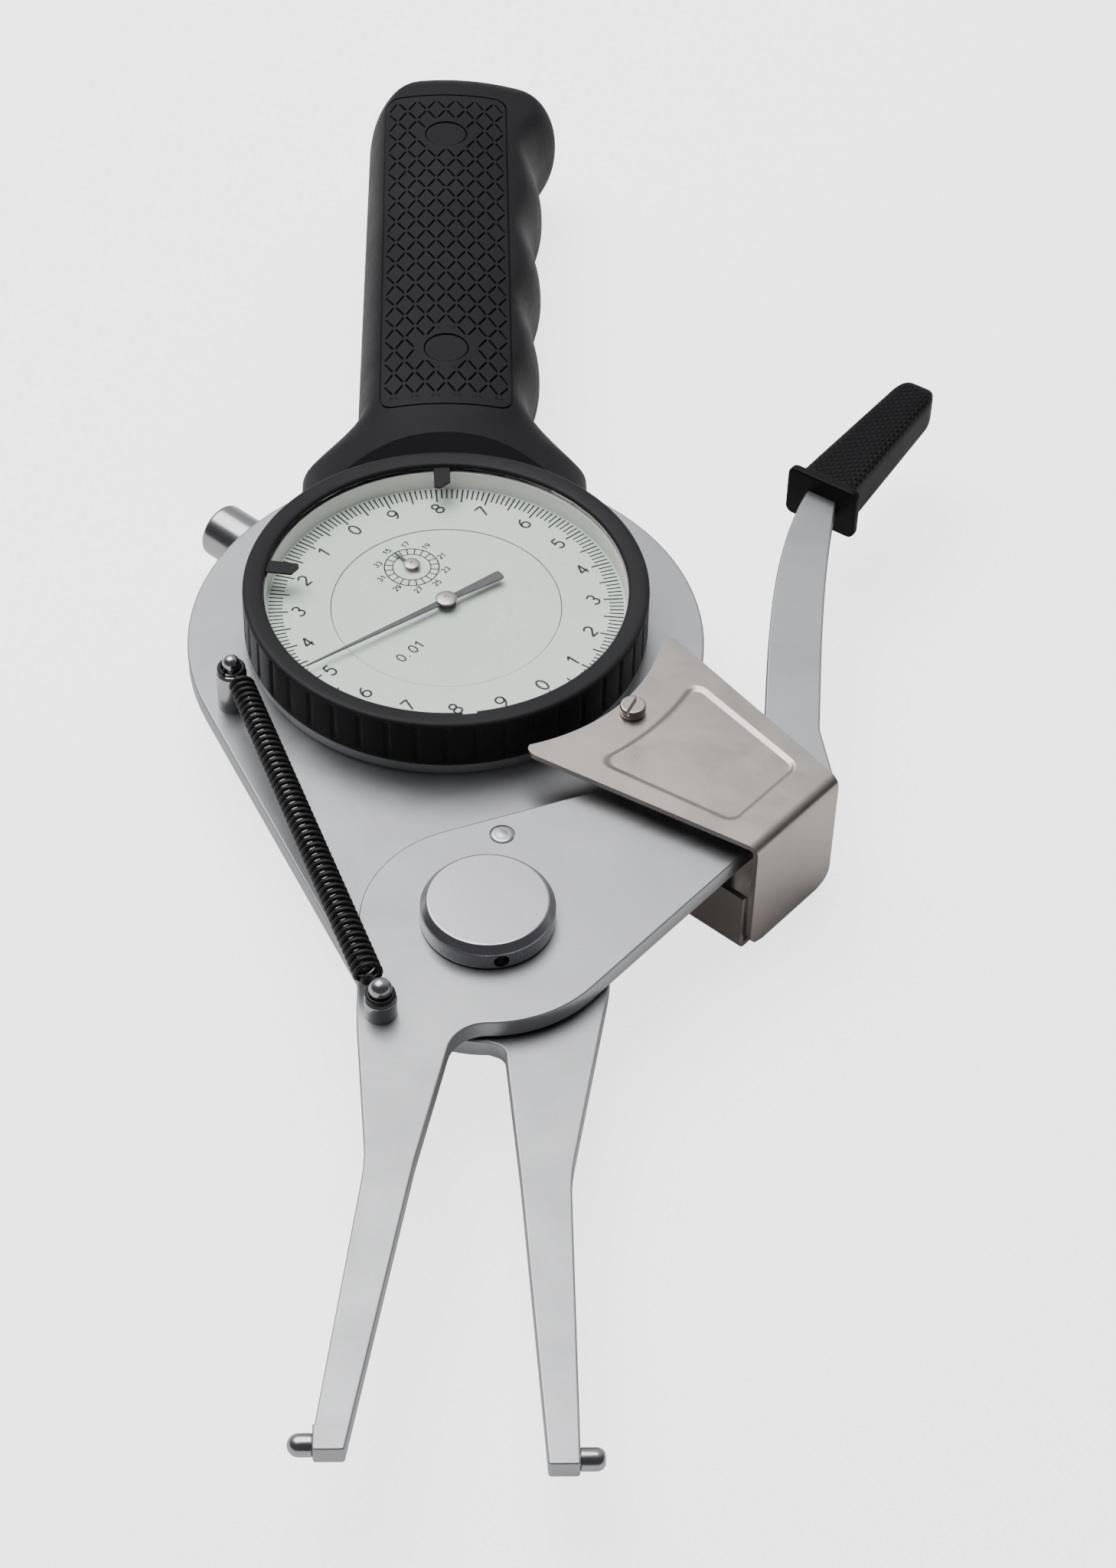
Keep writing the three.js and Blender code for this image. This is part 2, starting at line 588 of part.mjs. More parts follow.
/** A spot on the cover's axis: along it by u and to its left by v. */
const onCover = (u, v) => {
  const [x, y] = polar(u, COVER_AXIS);
  return [x - v * Math.sin(COVER_AXIS), y + v * Math.cos(COVER_AXIS)];
};

{
  const holes = [
    circle(CASE_RADIUS + FIT_GAP, 0, 0, FINE_SEGMENTS),
    circle(PIVOT_RADIUS + FIT_GAP, PIVOT_X, PIVOT_Y),
    circle(POST_STUD_RADIUS + FIT_GAP, UPPER_POST_X, UPPER_POST_Y, SMALL_SEGMENTS),
    circle(COVER_SCREW_RADIUS + FIT_GAP, coverPostX, coverPostY, SMALL_SEGMENTS),
    stopSlot(),
    ...Object.values(PLUG_PLACES).map((y) =>
      circle(HANDLE_SCREW_RADIUS + FIT_GAP, 0, y, SMALL_SEGMENTS)),
  ];
  const plate = prism(mainOutline(), MAIN_PLATE_BOTTOM, MAIN_PLATE_TOP, holes);
  piece('main_plate', cut(plate, studHole(CONTACT_STUD_RADIUS + FIT_GAP, RIGHT_LEG_OUTER,
    CONTACT_Y, MAIN_MIDDLE, 0)), SATIN_CHROME);
}

/** A jaw contact along +Z: a stud, then a round pin with a domed or a coned end. */
function contact(endLength, tipRadius) {
  const shoulder = CONTACT_LENGTH - endLength;
  const dome = arc(0, 0, 1, 0, Math.PI / 2, 3 * ARC_STEP).map(([c, s]) =>
    [tipRadius + (CONTACT_RADIUS - tipRadius) * c, shoulder + endLength * s]);
  return turned([
    [0, -CONTACT_STUD_LENGTH],
    [CONTACT_STUD_RADIUS, -CONTACT_STUD_LENGTH],
    [CONTACT_STUD_RADIUS, 0],
    [CONTACT_RADIUS, 0],
    ...dome,
    [0, CONTACT_LENGTH],
  ], SMALL_SEGMENTS);
}

piece('fixed_contact', lay(contact(CONTACT_RADIUS * 0.8, CONTACT_TIP_RADIUS), 0,
  RIGHT_LEG_OUTER, CONTACT_Y, MAIN_MIDDLE), BRIGHT_STEEL);

// The swinging plate: left leg, hub, arm and trigger lever in one sheet, about the pivot

const LEFT_LEG_OUTER = -JAW_OPENING / 2 + CONTACT_LENGTH - PIVOT_X;
const LEFT_SEAT_LENGTH = 3.4;
const LEFT_KNEE_OUTER = -14.9;
const LEFT_KNEE_INNER = -9;
const LEFT_LEG_INNER_TOP = -4.8;
const LEFT_CROTCH = 20;
const LEFT_CROTCH_FILLET = 4;
const LEVER_SPINE = [[41, 34.5], [41.9, 44], [43.2, 56], [44.8, 66.5], [46.4, 74], [48.5, 81.45]];
const ARM_CORNER_X = 45.8;
const FRONT_FOOT_ANGLE = THREE.MathUtils.degToRad(-96);
const LEVER_STEPS = 10;

/** The lever's two edges, offset from a smooth line through its spine, and the tongue's end. */
function leverEdges() {
  const spine = new THREE.CatmullRomCurve3(
    LEVER_SPINE.map(([x, y]) => new THREE.Vector3(x, y, 0)), false, 'centripetal');
  const left = [];
  const right = [];
  for (let i = 0; i <= LEVER_STEPS; i += 1) {
    const share = i / LEVER_STEPS;
    const p = spine.getPoint(share);
    const t = spine.getTangent(share);
    const half = LEVER_WIDTH / 2 + (TONGUE_WIDTH / 2 - LEVER_WIDTH / 2) * share ** 4;
    right.push([p.x + t.y * half, p.y - t.x * half]);
    left.push([p.x - t.y * half, p.y + t.x * half]);
  }
  const [footX, footY] = LEVER_SPINE[LEVER_SPINE.length - 1];
  const along = (u, v) => {
    const [x, y] = polar(u, GRIP_DIRECTION, footX, footY);
    return [x - v * Math.sin(GRIP_DIRECTION), y + v * Math.cos(GRIP_DIRECTION)];
  };
  return { left, right, end: [along(TONGUE_LENGTH, -TONGUE_WIDTH / 2),
    along(TONGUE_LENGTH, TONGUE_WIDTH / 2)] };
}

/** Where the cover's post stands beside the arm when the jaws are closed, seen by the arm. */
const closedPost = (() => {
  const dx = coverPostX - PIVOT_X;
  const dy = coverPostY - PIVOT_Y;
  return polar(Math.hypot(dx, dy), Math.atan2(dy, dx) - SWING);
})();

const anvilAt = (() => {
  const [x, y] = onCover(CONTACT_AT_REST + ANVIL_GAP + ANVIL_RADIUS, 0);
  return [x - PIVOT_X, y - PIVOT_Y];
})();

// The anvil pin's way along the spindle as the arm swings; the spindle keeps just ahead of it
const anvilTravel = (() => {
  const start = Math.atan2(anvilAt[1], anvilAt[0]) - COVER_AXIS;
  return Math.hypot(...anvilAt) * (Math.cos(start) - Math.cos(start + SWING));
})();
const spindleTravel = anvilTravel - ANVIL_GAP / 3;

const armOutline = () => {
  const lever = leverEdges();
  const frontNormal = ARM_FRONT_ANGLE - Math.PI / 2;
  const backNormal = ARM_BACK_ANGLE + Math.PI / 2;
  const [frontX, frontY] = polar(ARM_FRONT_RADIUS, frontNormal);
  const corner = [ARM_CORNER_X,
    frontY + (ARM_CORNER_X - frontX) * Math.tan(ARM_FRONT_ANGLE)];
  const [backX, backY] = polar(ARM_BACK_RADIUS, backNormal);
  const inner = lever.left[0];
  const backEnd = [inner[0] - LEVER_WIDTH / 4,
    backY + (inner[0] - LEVER_WIDTH / 4 - backX) * Math.tan(ARM_BACK_ANGLE)];
  return rounded([
    [LEFT_LEG_OUTER, -LEG_END, PLATE_CORNER],
    [LEFT_LEG_OUTER + LEG_TIP_WIDTH, -LEG_END, PLATE_CORNER],
    [LEFT_KNEE_INNER, -LEG_KNEE, KNEE_ROUND],
    [LEFT_LEG_INNER_TOP, -LEFT_CROTCH, LEFT_CROTCH_FILLET],
    ...arc(0, 0, ARM_FRONT_RADIUS, FRONT_FOOT_ANGLE, frontNormal),
    [...corner, PLATE_CORNER],
    [...lever.right[0], 2 * KNEE_ROUND],
    ...lever.right.slice(1),
    ...lever.end.map(([x, y]) => [x, y, TONGUE_WIDTH / 4]),
    ...lever.left.reverse(),
    [...backEnd, 2 * CROTCH_FILLET],
    ...arc(0, 0, ARM_BACK_RADIUS, backNormal, Math.PI),
    [-ARM_BACK_RADIUS, -ARM_BACK_RADIUS, KNEE_ROUND],
    [LEFT_KNEE_OUTER, -LEG_KNEE, KNEE_ROUND],
    [LEFT_LEG_OUTER + PLATE_CORNER / 2, -LEG_END + LEFT_SEAT_LENGTH],
    [LEFT_LEG_OUTER, -LEG_END + LEFT_SEAT_LENGTH],
  ]);
};

{
  const plate = prism(armOutline(), ARM_BOTTOM, ARM_TOP, [
    circle(PIVOT_RADIUS + RUN_GAP),
    circle(STOP_RADIUS + FIT_GAP, STOP_X, STOP_Y, SMALL_SEGMENTS),
    circle(POST_STUD_RADIUS + FIT_GAP, LOWER_POST_X, LOWER_POST_Y, SMALL_SEGMENTS),
    circle(ANVIL_RADIUS + FIT_GAP, ...anvilAt, SMALL_SEGMENTS),
  ]);
  const postRelief = disc(COVER_POST_RADIUS + 1.5 * SHEET, ARM_BOTTOM - OVERRUN,
    ARM_TOP + OVERRUN, ...closedPost);
  const hole = studHole(CONTACT_STUD_RADIUS + FIT_GAP, LEFT_LEG_OUTER, -JAW_REACH, ARM_MIDDLE,
    Math.PI);
  piece('moving_plate', cut(plate, postRelief, hole), SATIN_CHROME, arm);
}

piece('moving_contact', lay(contact(CONTACT_RADIUS, 0), Math.PI, LEFT_LEG_OUTER, -JAW_REACH,
  ARM_MIDDLE), BRIGHT_STEEL, arm);

// Pivot: bolt, washer between the plates, and the round knob that closes it

{
  const head = MAIN_PLATE_BOTTOM - PIVOT_HEAD_HEIGHT;
  const knobBottom = ARM_TOP + SEAT_GAP;
  const knobTop = knobBottom + KNOB_HEIGHT;
  const bore = knobTop - KNOB_ROOF;
  piece('pivot_bolt', turned([
    [0, head],
    [PIVOT_HEAD_RADIUS - PIVOT_CHAMFER, head],
    [PIVOT_HEAD_RADIUS, head + PIVOT_CHAMFER],
    [PIVOT_HEAD_RADIUS, MAIN_PLATE_BOTTOM],
    [PIVOT_RADIUS, MAIN_PLATE_BOTTOM],
    [PIVOT_RADIUS, bore - SEAT_GAP],
    [0, bore - SEAT_GAP],
  ]).translate(PIVOT_X, PIVOT_Y, 0), BRIGHT_STEEL);
  piece('pivot_washer', turned([
    [PIVOT_RADIUS + FIT_GAP, MAIN_PLATE_TOP],
    [WASHER_RADIUS, MAIN_PLATE_TOP],
    [WASHER_RADIUS, ARM_BOTTOM],
    [PIVOT_RADIUS + FIT_GAP, ARM_BOTTOM],
  ]).translate(PIVOT_X, PIVOT_Y, 0), BRASS);
  const knob = turned([
    [PIVOT_RADIUS + FIT_GAP, knobBottom],
    [KNOB_RADIUS, knobBottom],
    [KNOB_RADIUS, knobTop - KNOB_CHAMFER],
    [KNOB_TOP_RADIUS, knobTop],
    [0, knobTop],
    [0, bore],
    [PIVOT_RADIUS + FIT_GAP, bore],
    [PIVOT_RADIUS + FIT_GAP, knobBottom],
  ], 2 * ROUND_SEGMENTS - 8);
  const hole = disc(KNOB_HOLE_RADIUS, KNOB_RADIUS - KNOB_HOLE_DEPTH, KNOB_RADIUS + OVERRUN,
    0, 0, SMALL_SEGMENTS);
  const holeZ = knobBottom + (KNOB_HEIGHT - KNOB_CHAMFER) / 2;
  piece('pivot_knob', cut(knob, lay(hole, KNOB_HOLE_ANGLE, 0, 0, holeZ))
    .translate(PIVOT_X, PIVOT_Y, 0), SATIN_CHROME);
}

piece('stop_pin', disc(STOP_RADIUS, ARM_BOTTOM - STOP_REACH, ARM_TOP + STOP_PROUD,
  STOP_X, STOP_Y, SMALL_SEGMENTS), BRIGHT_STEEL, arm);
piece('anvil_pin', disc(ANVIL_RADIUS, ANVIL_BOTTOM, ARM_TOP, ...anvilAt, SMALL_SEGMENTS),
  BRIGHT_STEEL, arm);

// Spring posts and the tension spring

/** A waisted post with a domed head, standing on a plate whose top is at seat. */
function springPost(seat) {
  const domeBase = POST_TOP - POST_RADIUS;
  return turned([
    [0, seat - POST_STUD_LENGTH],
    [POST_STUD_RADIUS, seat - POST_STUD_LENGTH],
    [POST_STUD_RADIUS, seat],
    [POST_RADIUS, seat],
    [POST_RADIUS, SPRING_Z - NECK_HALF_HEIGHT],
    [POST_NECK_RADIUS, SPRING_Z - NECK_HALF_HEIGHT / 2],
    [POST_NECK_RADIUS, SPRING_Z + NECK_HALF_HEIGHT / 2],
    [POST_RADIUS, Math.max(domeBase, SPRING_Z + NECK_HALF_HEIGHT)],
    ...arc(0, domeBase, POST_RADIUS, Math.PI / 12, Math.PI / 2, 3 * ARC_STEP).slice(0, -1),
    [0, POST_TOP],
  ], SMALL_SEGMENTS);
}

piece('spring_post_upper', springPost(MAIN_PLATE_TOP).translate(UPPER_POST_X, UPPER_POST_Y, 0),
  BRIGHT_STEEL);
piece('spring_post_lower', springPost(ARM_TOP).translate(LOWER_POST_X, LOWER_POST_Y, 0),
  BRIGHT_STEEL, arm);

/** The spring's centre line: a hook round each post and evenly pitched curls between. */
function springLine() {
  const upper = new THREE.Vector3(UPPER_POST_X, UPPER_POST_Y, SPRING_Z);
  const lower = new THREE.Vector3(PIVOT_X + LOWER_POST_X, PIVOT_Y + LOWER_POST_Y, SPRING_Z);
  const along = lower.clone().sub(upper).normalize();
  const across = new THREE.Vector3(0, 0, 1).cross(along);
  const up = new THREE.Vector3(0, 0, 1);
  const first = HOOK_RADIUS + SPRING_LEAD;
  const length = upper.distanceTo(lower) - 2 * first;
  const points = [];
  const hook = (centre, facing, outward) => {
    for (let i = 0; i <= HOOK_STEPS; i += 1) {
      const angle = (outward ? 1 - i / HOOK_STEPS : i / HOOK_STEPS) * HOOK_SWEEP;
      points.push(centre.clone()
        .addScaledVector(facing, HOOK_RADIUS * Math.cos(angle))
        .addScaledVector(across, HOOK_RADIUS * Math.sin(angle) * (outward ? 1 : -1)));
    }
  };
  hook(upper, along, true);
  const steps = SPRING_CURLS * CURL_STEPS;
  for (let i = 0; i <= steps; i += 1) {
    const angle = (2 * Math.PI * i) / CURL_STEPS;
    const ease = Math.min(1, (i + 1) / CURL_STEPS, (steps - i + 1) / CURL_STEPS);
    points.push(upper.clone()
      .addScaledVector(along, first + (length * i) / steps)
      .addScaledVector(across, SPRING_SHIFT * (1 - i / steps))
      .addScaledVector(across, SPRING_COIL_RADIUS * Math.sin(angle) * ease)
      .addScaledVector(up, SPRING_COIL_RADIUS * Math.cos(angle) * ease));
  }
  hook(lower, along.clone().negate(), false);
  return points;
}

/** A round wire through points, its section carried without twist, closed at both ends. */
function wire(points, radius, sides) {
  const vertices = [];
  const faces = [];
  const tangent = (i) => points[Math.min(i + 1, points.length - 1)].clone()
    .sub(points[Math.max(i - 1, 0)]).normalize();
  let normal = new THREE.Vector3(0, 0, 1);
  points.forEach((point, i) => {
    const t = tangent(i);
    normal = normal.addScaledVector(t, -normal.dot(t)).normalize();
    const side = t.clone().cross(normal);
    for (let k = 0; k < sides; k += 1) {
      const angle = (2 * Math.PI * k) / sides;
      const p = point.clone()
        .addScaledVector(normal, radius * Math.cos(angle))
        .addScaledVector(side, radius * Math.sin(angle));
      vertices.push(p.x, p.y, p.z);
    }
  });
  for (let i = 0; i + 1 < points.length; i += 1) {
    for (let k = 0; k < sides; k += 1) {
      const a = i * sides + k;
      const b = i * sides + ((k + 1) % sides);
      faces.push(a, b, b + sides, a, b + sides, a + sides);
    }
  }
  const last = (points.length - 1) * sides;
  for (let k = 1; k + 1 < sides; k += 1) {
    faces.push(0, k + 1, k, last, last + k, last + k + 1);
  }
  const geometry = new THREE.BufferGeometry();
  geometry.setAttribute('position', new THREE.Float32BufferAttribute(vertices, 3));
  geometry.setIndex(faces);
  return geometry;
}

{
  const line = springLine();
  let nearest = Infinity;
  const skip = Math.round(0.7 * CURL_STEPS);
  line.forEach((p, i) => {
    for (const q of line.slice(i + skip)) nearest = Math.min(nearest, p.distanceTo(q));
  });
  console.log(`tension spring: least gap to itself ${(nearest - 2 * SPRING_WIRE_RADIUS).toFixed(2)} mm`);
  piece('tension_spring', wire(line, SPRING_WIRE_RADIUS, WIRE_SIDES), BLACK_WIRE);
}

// Trigger grip: a flanged sleeve pushed on the lever's tongue

{
  const [footX, footY] = LEVER_SPINE[LEVER_SPINE.length - 1];
  const plan = (baseHalf, tipHalf, from, to) => [
    [from, -baseHalf],
    [to - tipHalf, -tipHalf],
    ...arc(to - tipHalf, 0, tipHalf, -Math.PI / 2, Math.PI / 2).slice(1, -1),
    [to - tipHalf, tipHalf],
    [from, baseHalf],
  ];
  const body = new THREE.ExtrudeGeometry(
    toShape(plan(GRIP_BASE_WIDTH / 2 - GRIP_BEVEL, GRIP_TIP_WIDTH / 2 - GRIP_BEVEL,
      FLANGE_THICKNESS, GRIP_LENGTH - GRIP_BEVEL)),
    { depth: GRIP_HEIGHT - 2 * GRIP_BEVEL, bevelEnabled: true, bevelSize: GRIP_BEVEL,
      bevelThickness: GRIP_BEVEL, bevelSegments: 2 },
  ).translate(0, 0, -GRIP_HEIGHT / 2 + GRIP_BEVEL);
  const points = body.attributes.position;
  for (let i = 0; i < points.count; i += 1) {
    points.setZ(i, points.getZ(i) * (1 - (GRIP_TAPER_SHARE * points.getX(i)) / GRIP_LENGTH));
  }
  const flange = prism(rounded([
    [-FLANGE_HEIGHT / 2, -FLANGE_WIDTH / 2, FLANGE_ROUND],
    [FLANGE_HEIGHT / 2, -FLANGE_WIDTH / 2, FLANGE_ROUND],
    [FLANGE_HEIGHT / 2, FLANGE_WIDTH / 2, FLANGE_ROUND],
    [-FLANGE_HEIGHT / 2, FLANGE_WIDTH / 2, FLANGE_ROUND],
  ]), 0, FLANGE_THICKNESS).rotateY(Math.PI / 2);
  const socket = block(-OVERRUN, TONGUE_LENGTH + SEAT_GAP, -TONGUE_WIDTH / 2 - SEAT_GAP,
    TONGUE_WIDTH / 2 + SEAT_GAP, -PLATE_THICKNESS / 2 - FIT_GAP, PLATE_THICKNESS / 2 + FIT_GAP);
  const mouth = block(-OVERRUN, FLANGE_THICKNESS, -LEVER_WIDTH / 2 - SEAT_GAP,
    LEVER_WIDTH / 2 + SEAT_GAP, -PLATE_THICKNESS / 2 - FIT_GAP, PLATE_THICKNESS / 2 + FIT_GAP);
  const grip = cut(join(body, flange), socket, mouth);
  piece('trigger_grip', grip.rotateZ(GRIP_DIRECTION).translate(footX, footY, ARM_MIDDLE),
    BLACK_PLASTIC, arm);
}

// Indicator case, back, stem and rear cap

const caseBarrel = turned([
  [CASE_BORE, BACK_THICKNESS],
  [CASE_RADIUS, BACK_THICKNESS],
  [CASE_RADIUS, MAIN_PLATE_TOP],
  [CASE_FLANGE_RADIUS, MAIN_PLATE_TOP],
  [CASE_FLANGE_RADIUS, CASE_FLANGE_TOP],
  [NECK_RADIUS, CASE_FLANGE_TOP],
  [NECK_RADIUS, CASE_NECK_TOP],
  [CASE_UPPER_BORE, CASE_NECK_TOP],
  [CASE_UPPER_BORE, MOVEMENT_PLATE_Z],
  [CASE_BORE, MOVEMENT_PLATE_Z],
], FINE_SEGMENTS);

/** A round bar along the indicator's axis; u counts from the dial's axis, towards the rear. */
const alongSpindle = (radius, from, to, segments = ROUND_SEGMENTS) =>
  lay(disc(radius, from, to, 0, 0, segments), INDICATOR_AXIS, 0, 0, SPINDLE_Z);

piece('indicator_case', cut(caseBarrel,
  alongSpindle(STUB_THREAD_RADIUS + FIT_GAP, -CASE_RADIUS - OVERRUN, CASE_RADIUS + OVERRUN)),
CAST_CASE);

const driveArbor = polar(ARBOR_DISTANCE, INDICATOR_AXIS + ARBOR_SPREAD);
const counterArbor = polar(ARBOR_DISTANCE, SUB_DIAL_ANGLE);

{
  const screwAt = Array.from({ length: BACK_SCREW_COUNT }, (_, i) =>
    polar(BACK_SCREW_CIRCLE, INDICATOR_AXIS + (Math.PI / 2) * (i + 0.5)));
  const seat = BACK_THICKNESS - BACK_SCREW_SINK;
  const pockets = screwAt.map(([x, y]) =>
    disc(BACK_SCREW_RADIUS + FIT_GAP, -OVERRUN, BACK_THICKNESS / 2 + FIT_GAP, x, y, SMALL_SEGMENTS));
  const pivotHole = disc(ARBOR_PIVOT_RADIUS + RUN_GAP, BACK_THICKNESS - PIVOT_HOLE_DEPTH,
    BACK_THICKNESS + OVERRUN, ...driveArbor, SMALL_SEGMENTS);
  piece('case_back', cut(disc(CASE_RADIUS, 0, BACK_THICKNESS, 0, 0, FINE_SEGMENTS),
    ...pockets, pivotHole), CAST_CASE);
  screwAt.forEach(([x, y], i) => {
    const head = disc(BACK_SCREW_RADIUS, BACK_SCREW_SINK, BACK_THICKNESS / 2, 0, 0, SMALL_SEGMENTS);
    const slot = block(-BACK_SCREW_RADIUS - OVERRUN, BACK_SCREW_RADIUS + OVERRUN,
      -SCREW_SLOT_WIDTH / 2, SCREW_SLOT_WIDTH / 2, -OVERRUN, BACK_SCREW_SINK + (seat / 4));
    piece(`case_back_screw_${i + 1}`, cut(head, slot).translate(x, y, 0), NICKEL);
  });
}

{
  const bore = SPINDLE_RADIUS + RUN_GAP;
  piece('stem', lay(turned([
    [bore, STEM_START - STUB_THREAD_LENGTH],
    [STUB_THREAD_RADIUS, STEM_START - STUB_THREAD_LENGTH],
    [STUB_THREAD_RADIUS, STEM_START],
    [STEM_RADIUS, STEM_START],
    [STEM_RADIUS, STEM_END],
    [bore, STEM_END],
  ]), COVER_AXIS, 0, 0, SPINDLE_Z), BRIGHT_STEEL);
}

{
  const inner = CAP_END - CAP_WALL;
  const bore = SPINDLE_RADIUS + RUN_GAP;
  piece('rear_cap', lay(turned([
    [bore, STEM_START - STUB_THREAD_LENGTH],
    [STUB_THREAD_RADIUS, STEM_START - STUB_THREAD_LENGTH],
    [STUB_THREAD_RADIUS, STEM_START],
    [STEM_RADIUS, STEM_START],
    [STEM_RADIUS, CAP_END - CAP_CHAMFER],
    [STEM_RADIUS - CAP_CHAMFER, CAP_END],
    [0, CAP_END],
    [0, inner],
    [bore, inner],
    [bore, STEM_START - STUB_THREAD_LENGTH],
  ]), INDICATOR_AXIS, 0, 0, SPINDLE_Z), BRIGHT_STEEL);
}

// Gear train

const wheelRadius = (ARBOR_DISTANCE * WHEEL_TEETH) / (WHEEL_TEETH + PINION_TEETH);
const pinionRadius = ARBOR_DISTANCE - wheelRadius;
const mainTurns = JAW_TRAVEL / OPENING_PER_TURN;
const wheelTurns = (mainTurns * PINION_TEETH) / WHEEL_TEETH;
const rackPinionRadius = spindleTravel / (2 * Math.PI * wheelTurns);
const rackPitch = (2 * Math.PI * rackPinionRadius) / RACK_PINION_TEETH;

/** A gear's outline: each tooth is a trapezium, and the first is centred on the phase angle. */
function gearOutline(teeth, radius, tip, rootDepth, phase, width = TOOTH_WIDTH_SHARE) {
  const outline = [];
  for (let i = 0; i < teeth; i += 1) {
    const at = (share, r) => polar(r, phase + (2 * Math.PI * (i + share)) / teeth);
    outline.push(at(-width * 0.7, radius - rootDepth), at(-width * 0.3, radius + tip),
      at(width * 0.3, radius + tip), at(width * 0.7, radius - rootDepth));
  }
  return outline;
}

/** A fine wheel's outline: one point on each tip and one at each root. */
function wheelOutline(teeth, radius, tip, rootDepth, phase) {
  const outline = [];
  for (let i = 0; i < teeth; i += 1) {
    const at = (share, r) => polar(r, phase + (2 * Math.PI * (i + share)) / teeth);
    outline.push(at(-1 / 2, radius - rootDepth), at(0, radius + tip));
  }
  return outline;
}

const towardsDrive = INDICATOR_AXIS + ARBOR_SPREAD;
const pinionPhase = towardsDrive + Math.PI / PINION_TEETH;
const gapNearCounter = (() => {
  const pitch = (2 * Math.PI) / PINION_TEETH;
  const offset = SUB_DIAL_ANGLE - towardsDrive;
  return offset - Math.round(offset / pitch) * pitch;
})();

{
  const [x, y] = driveArbor;
  const facingRack = INDICATOR_AXIS - Math.PI / 2;
  const wheel = prism(wheelOutline(WHEEL_TEETH, wheelRadius, TOOTH_TIP, TOOTH_ROOT,
    towardsDrive + Math.PI), DRIVE_WHEEL_Z, DRIVE_WHEEL_Z + WHEEL_THICKNESS);
  const rackPinion = prism(gearOutline(RACK_PINION_TEETH, rackPinionRadius, RACK_TIP, RACK_ROOT,
    facingRack + Math.PI / RACK_PINION_TEETH, TOOTH_WIDTH_SHARE * 1.1),
  SPINDLE_Z - SPINDLE_RADIUS, SPINDLE_Z + SPINDLE_RADIUS);
  const arbor = join(
    disc(ARBOR_RADIUS, BACK_THICKNESS + SEAT_GAP, BRIDGE_Z - SEAT_GAP, 0, 0, SMALL_SEGMENTS),
    disc(ARBOR_PIVOT_RADIUS, BACK_THICKNESS - PIVOT_HOLE_DEPTH + SEAT_GAP,
      BRIDGE_Z + BRIDGE_THICKNESS, 0, 0, SMALL_SEGMENTS),
    wheel, rackPinion);
  piece('drive_wheel', arbor.translate(x, y, 0), BRASS);
}

{
  const [x, y] = counterArbor;
  const phase = SUB_DIAL_ANGLE + Math.PI + (gapNearCounter * PINION_TEETH) / WHEEL_TEETH;
  const wheel = prism(wheelOutline(WHEEL_TEETH, wheelRadius, TOOTH_TIP, TOOTH_ROOT, phase),
    COUNTER_WHEEL_Z, COUNTER_WHEEL_Z + WHEEL_THICKNESS);
  const arbor = join(
    disc(ARBOR_RADIUS, BRIDGE_Z + BRIDGE_THICKNESS + SEAT_GAP, SMALL_HAND_Z, 0, 0, SMALL_SEGMENTS),
    disc(ARBOR_PIVOT_RADIUS, BRIDGE_Z, SMALL_CAP_TOP - 2 * HAND_THICKNESS, 0, 0, SMALL_SEGMENTS),
    wheel);
  piece('counter_wheel', arbor.translate(x, y, 0), BRASS);
}

piece('centre_arbor', join(
  disc(ARBOR_PIVOT_RADIUS, BRIDGE_LIP_Z, CAP_TOP - HAND_THICKNESS, 0, 0, SMALL_SEGMENTS),
  prism(gearOutline(PINION_TEETH, pinionRadius, TOOTH_TIP, TOOTH_ROOT, pinionPhase),
    BRIDGE_LIP_Z + BRIDGE_THICKNESS + SEAT_GAP, COUNTER_WHEEL_Z + WHEEL_THICKNESS + SEAT_GAP),
  disc(ARBOR_RADIUS, BRIDGE_Z, DIAL_TOP, 0, 0, SMALL_SEGMENTS),
  disc(SLEEVE_RADIUS, DIAL_TOP + FIT_GAP, MAIN_HAND_Z, 0, 0, SMALL_SEGMENTS),
), BRIGHT_STEEL);

{
  const bores = [[0, 0], counterArbor].map(([x, y]) =>
    disc(ARBOR_RADIUS + RUN_GAP, MOVEMENT_PLATE_Z - OVERRUN, DIAL_TOP, x, y, SMALL_SEGMENTS));
  const bushes = [[0, 0], counterArbor].map(([x, y]) =>
    disc(BUSH_RADIUS, MOVEMENT_PLATE_Z, DIAL_TOP - DIAL_THICKNESS, x, y, SMALL_SEGMENTS));
  const plate = disc(CASE_UPPER_BORE - FIT_GAP, MOVEMENT_PLATE_Z,
    MOVEMENT_PLATE_Z + MOVEMENT_PLATE_THICKNESS, 0, 0, FINE_SEGMENTS);
  piece('movement_plate', cut(join(plate, ...bushes), ...bores), BRASS);
}

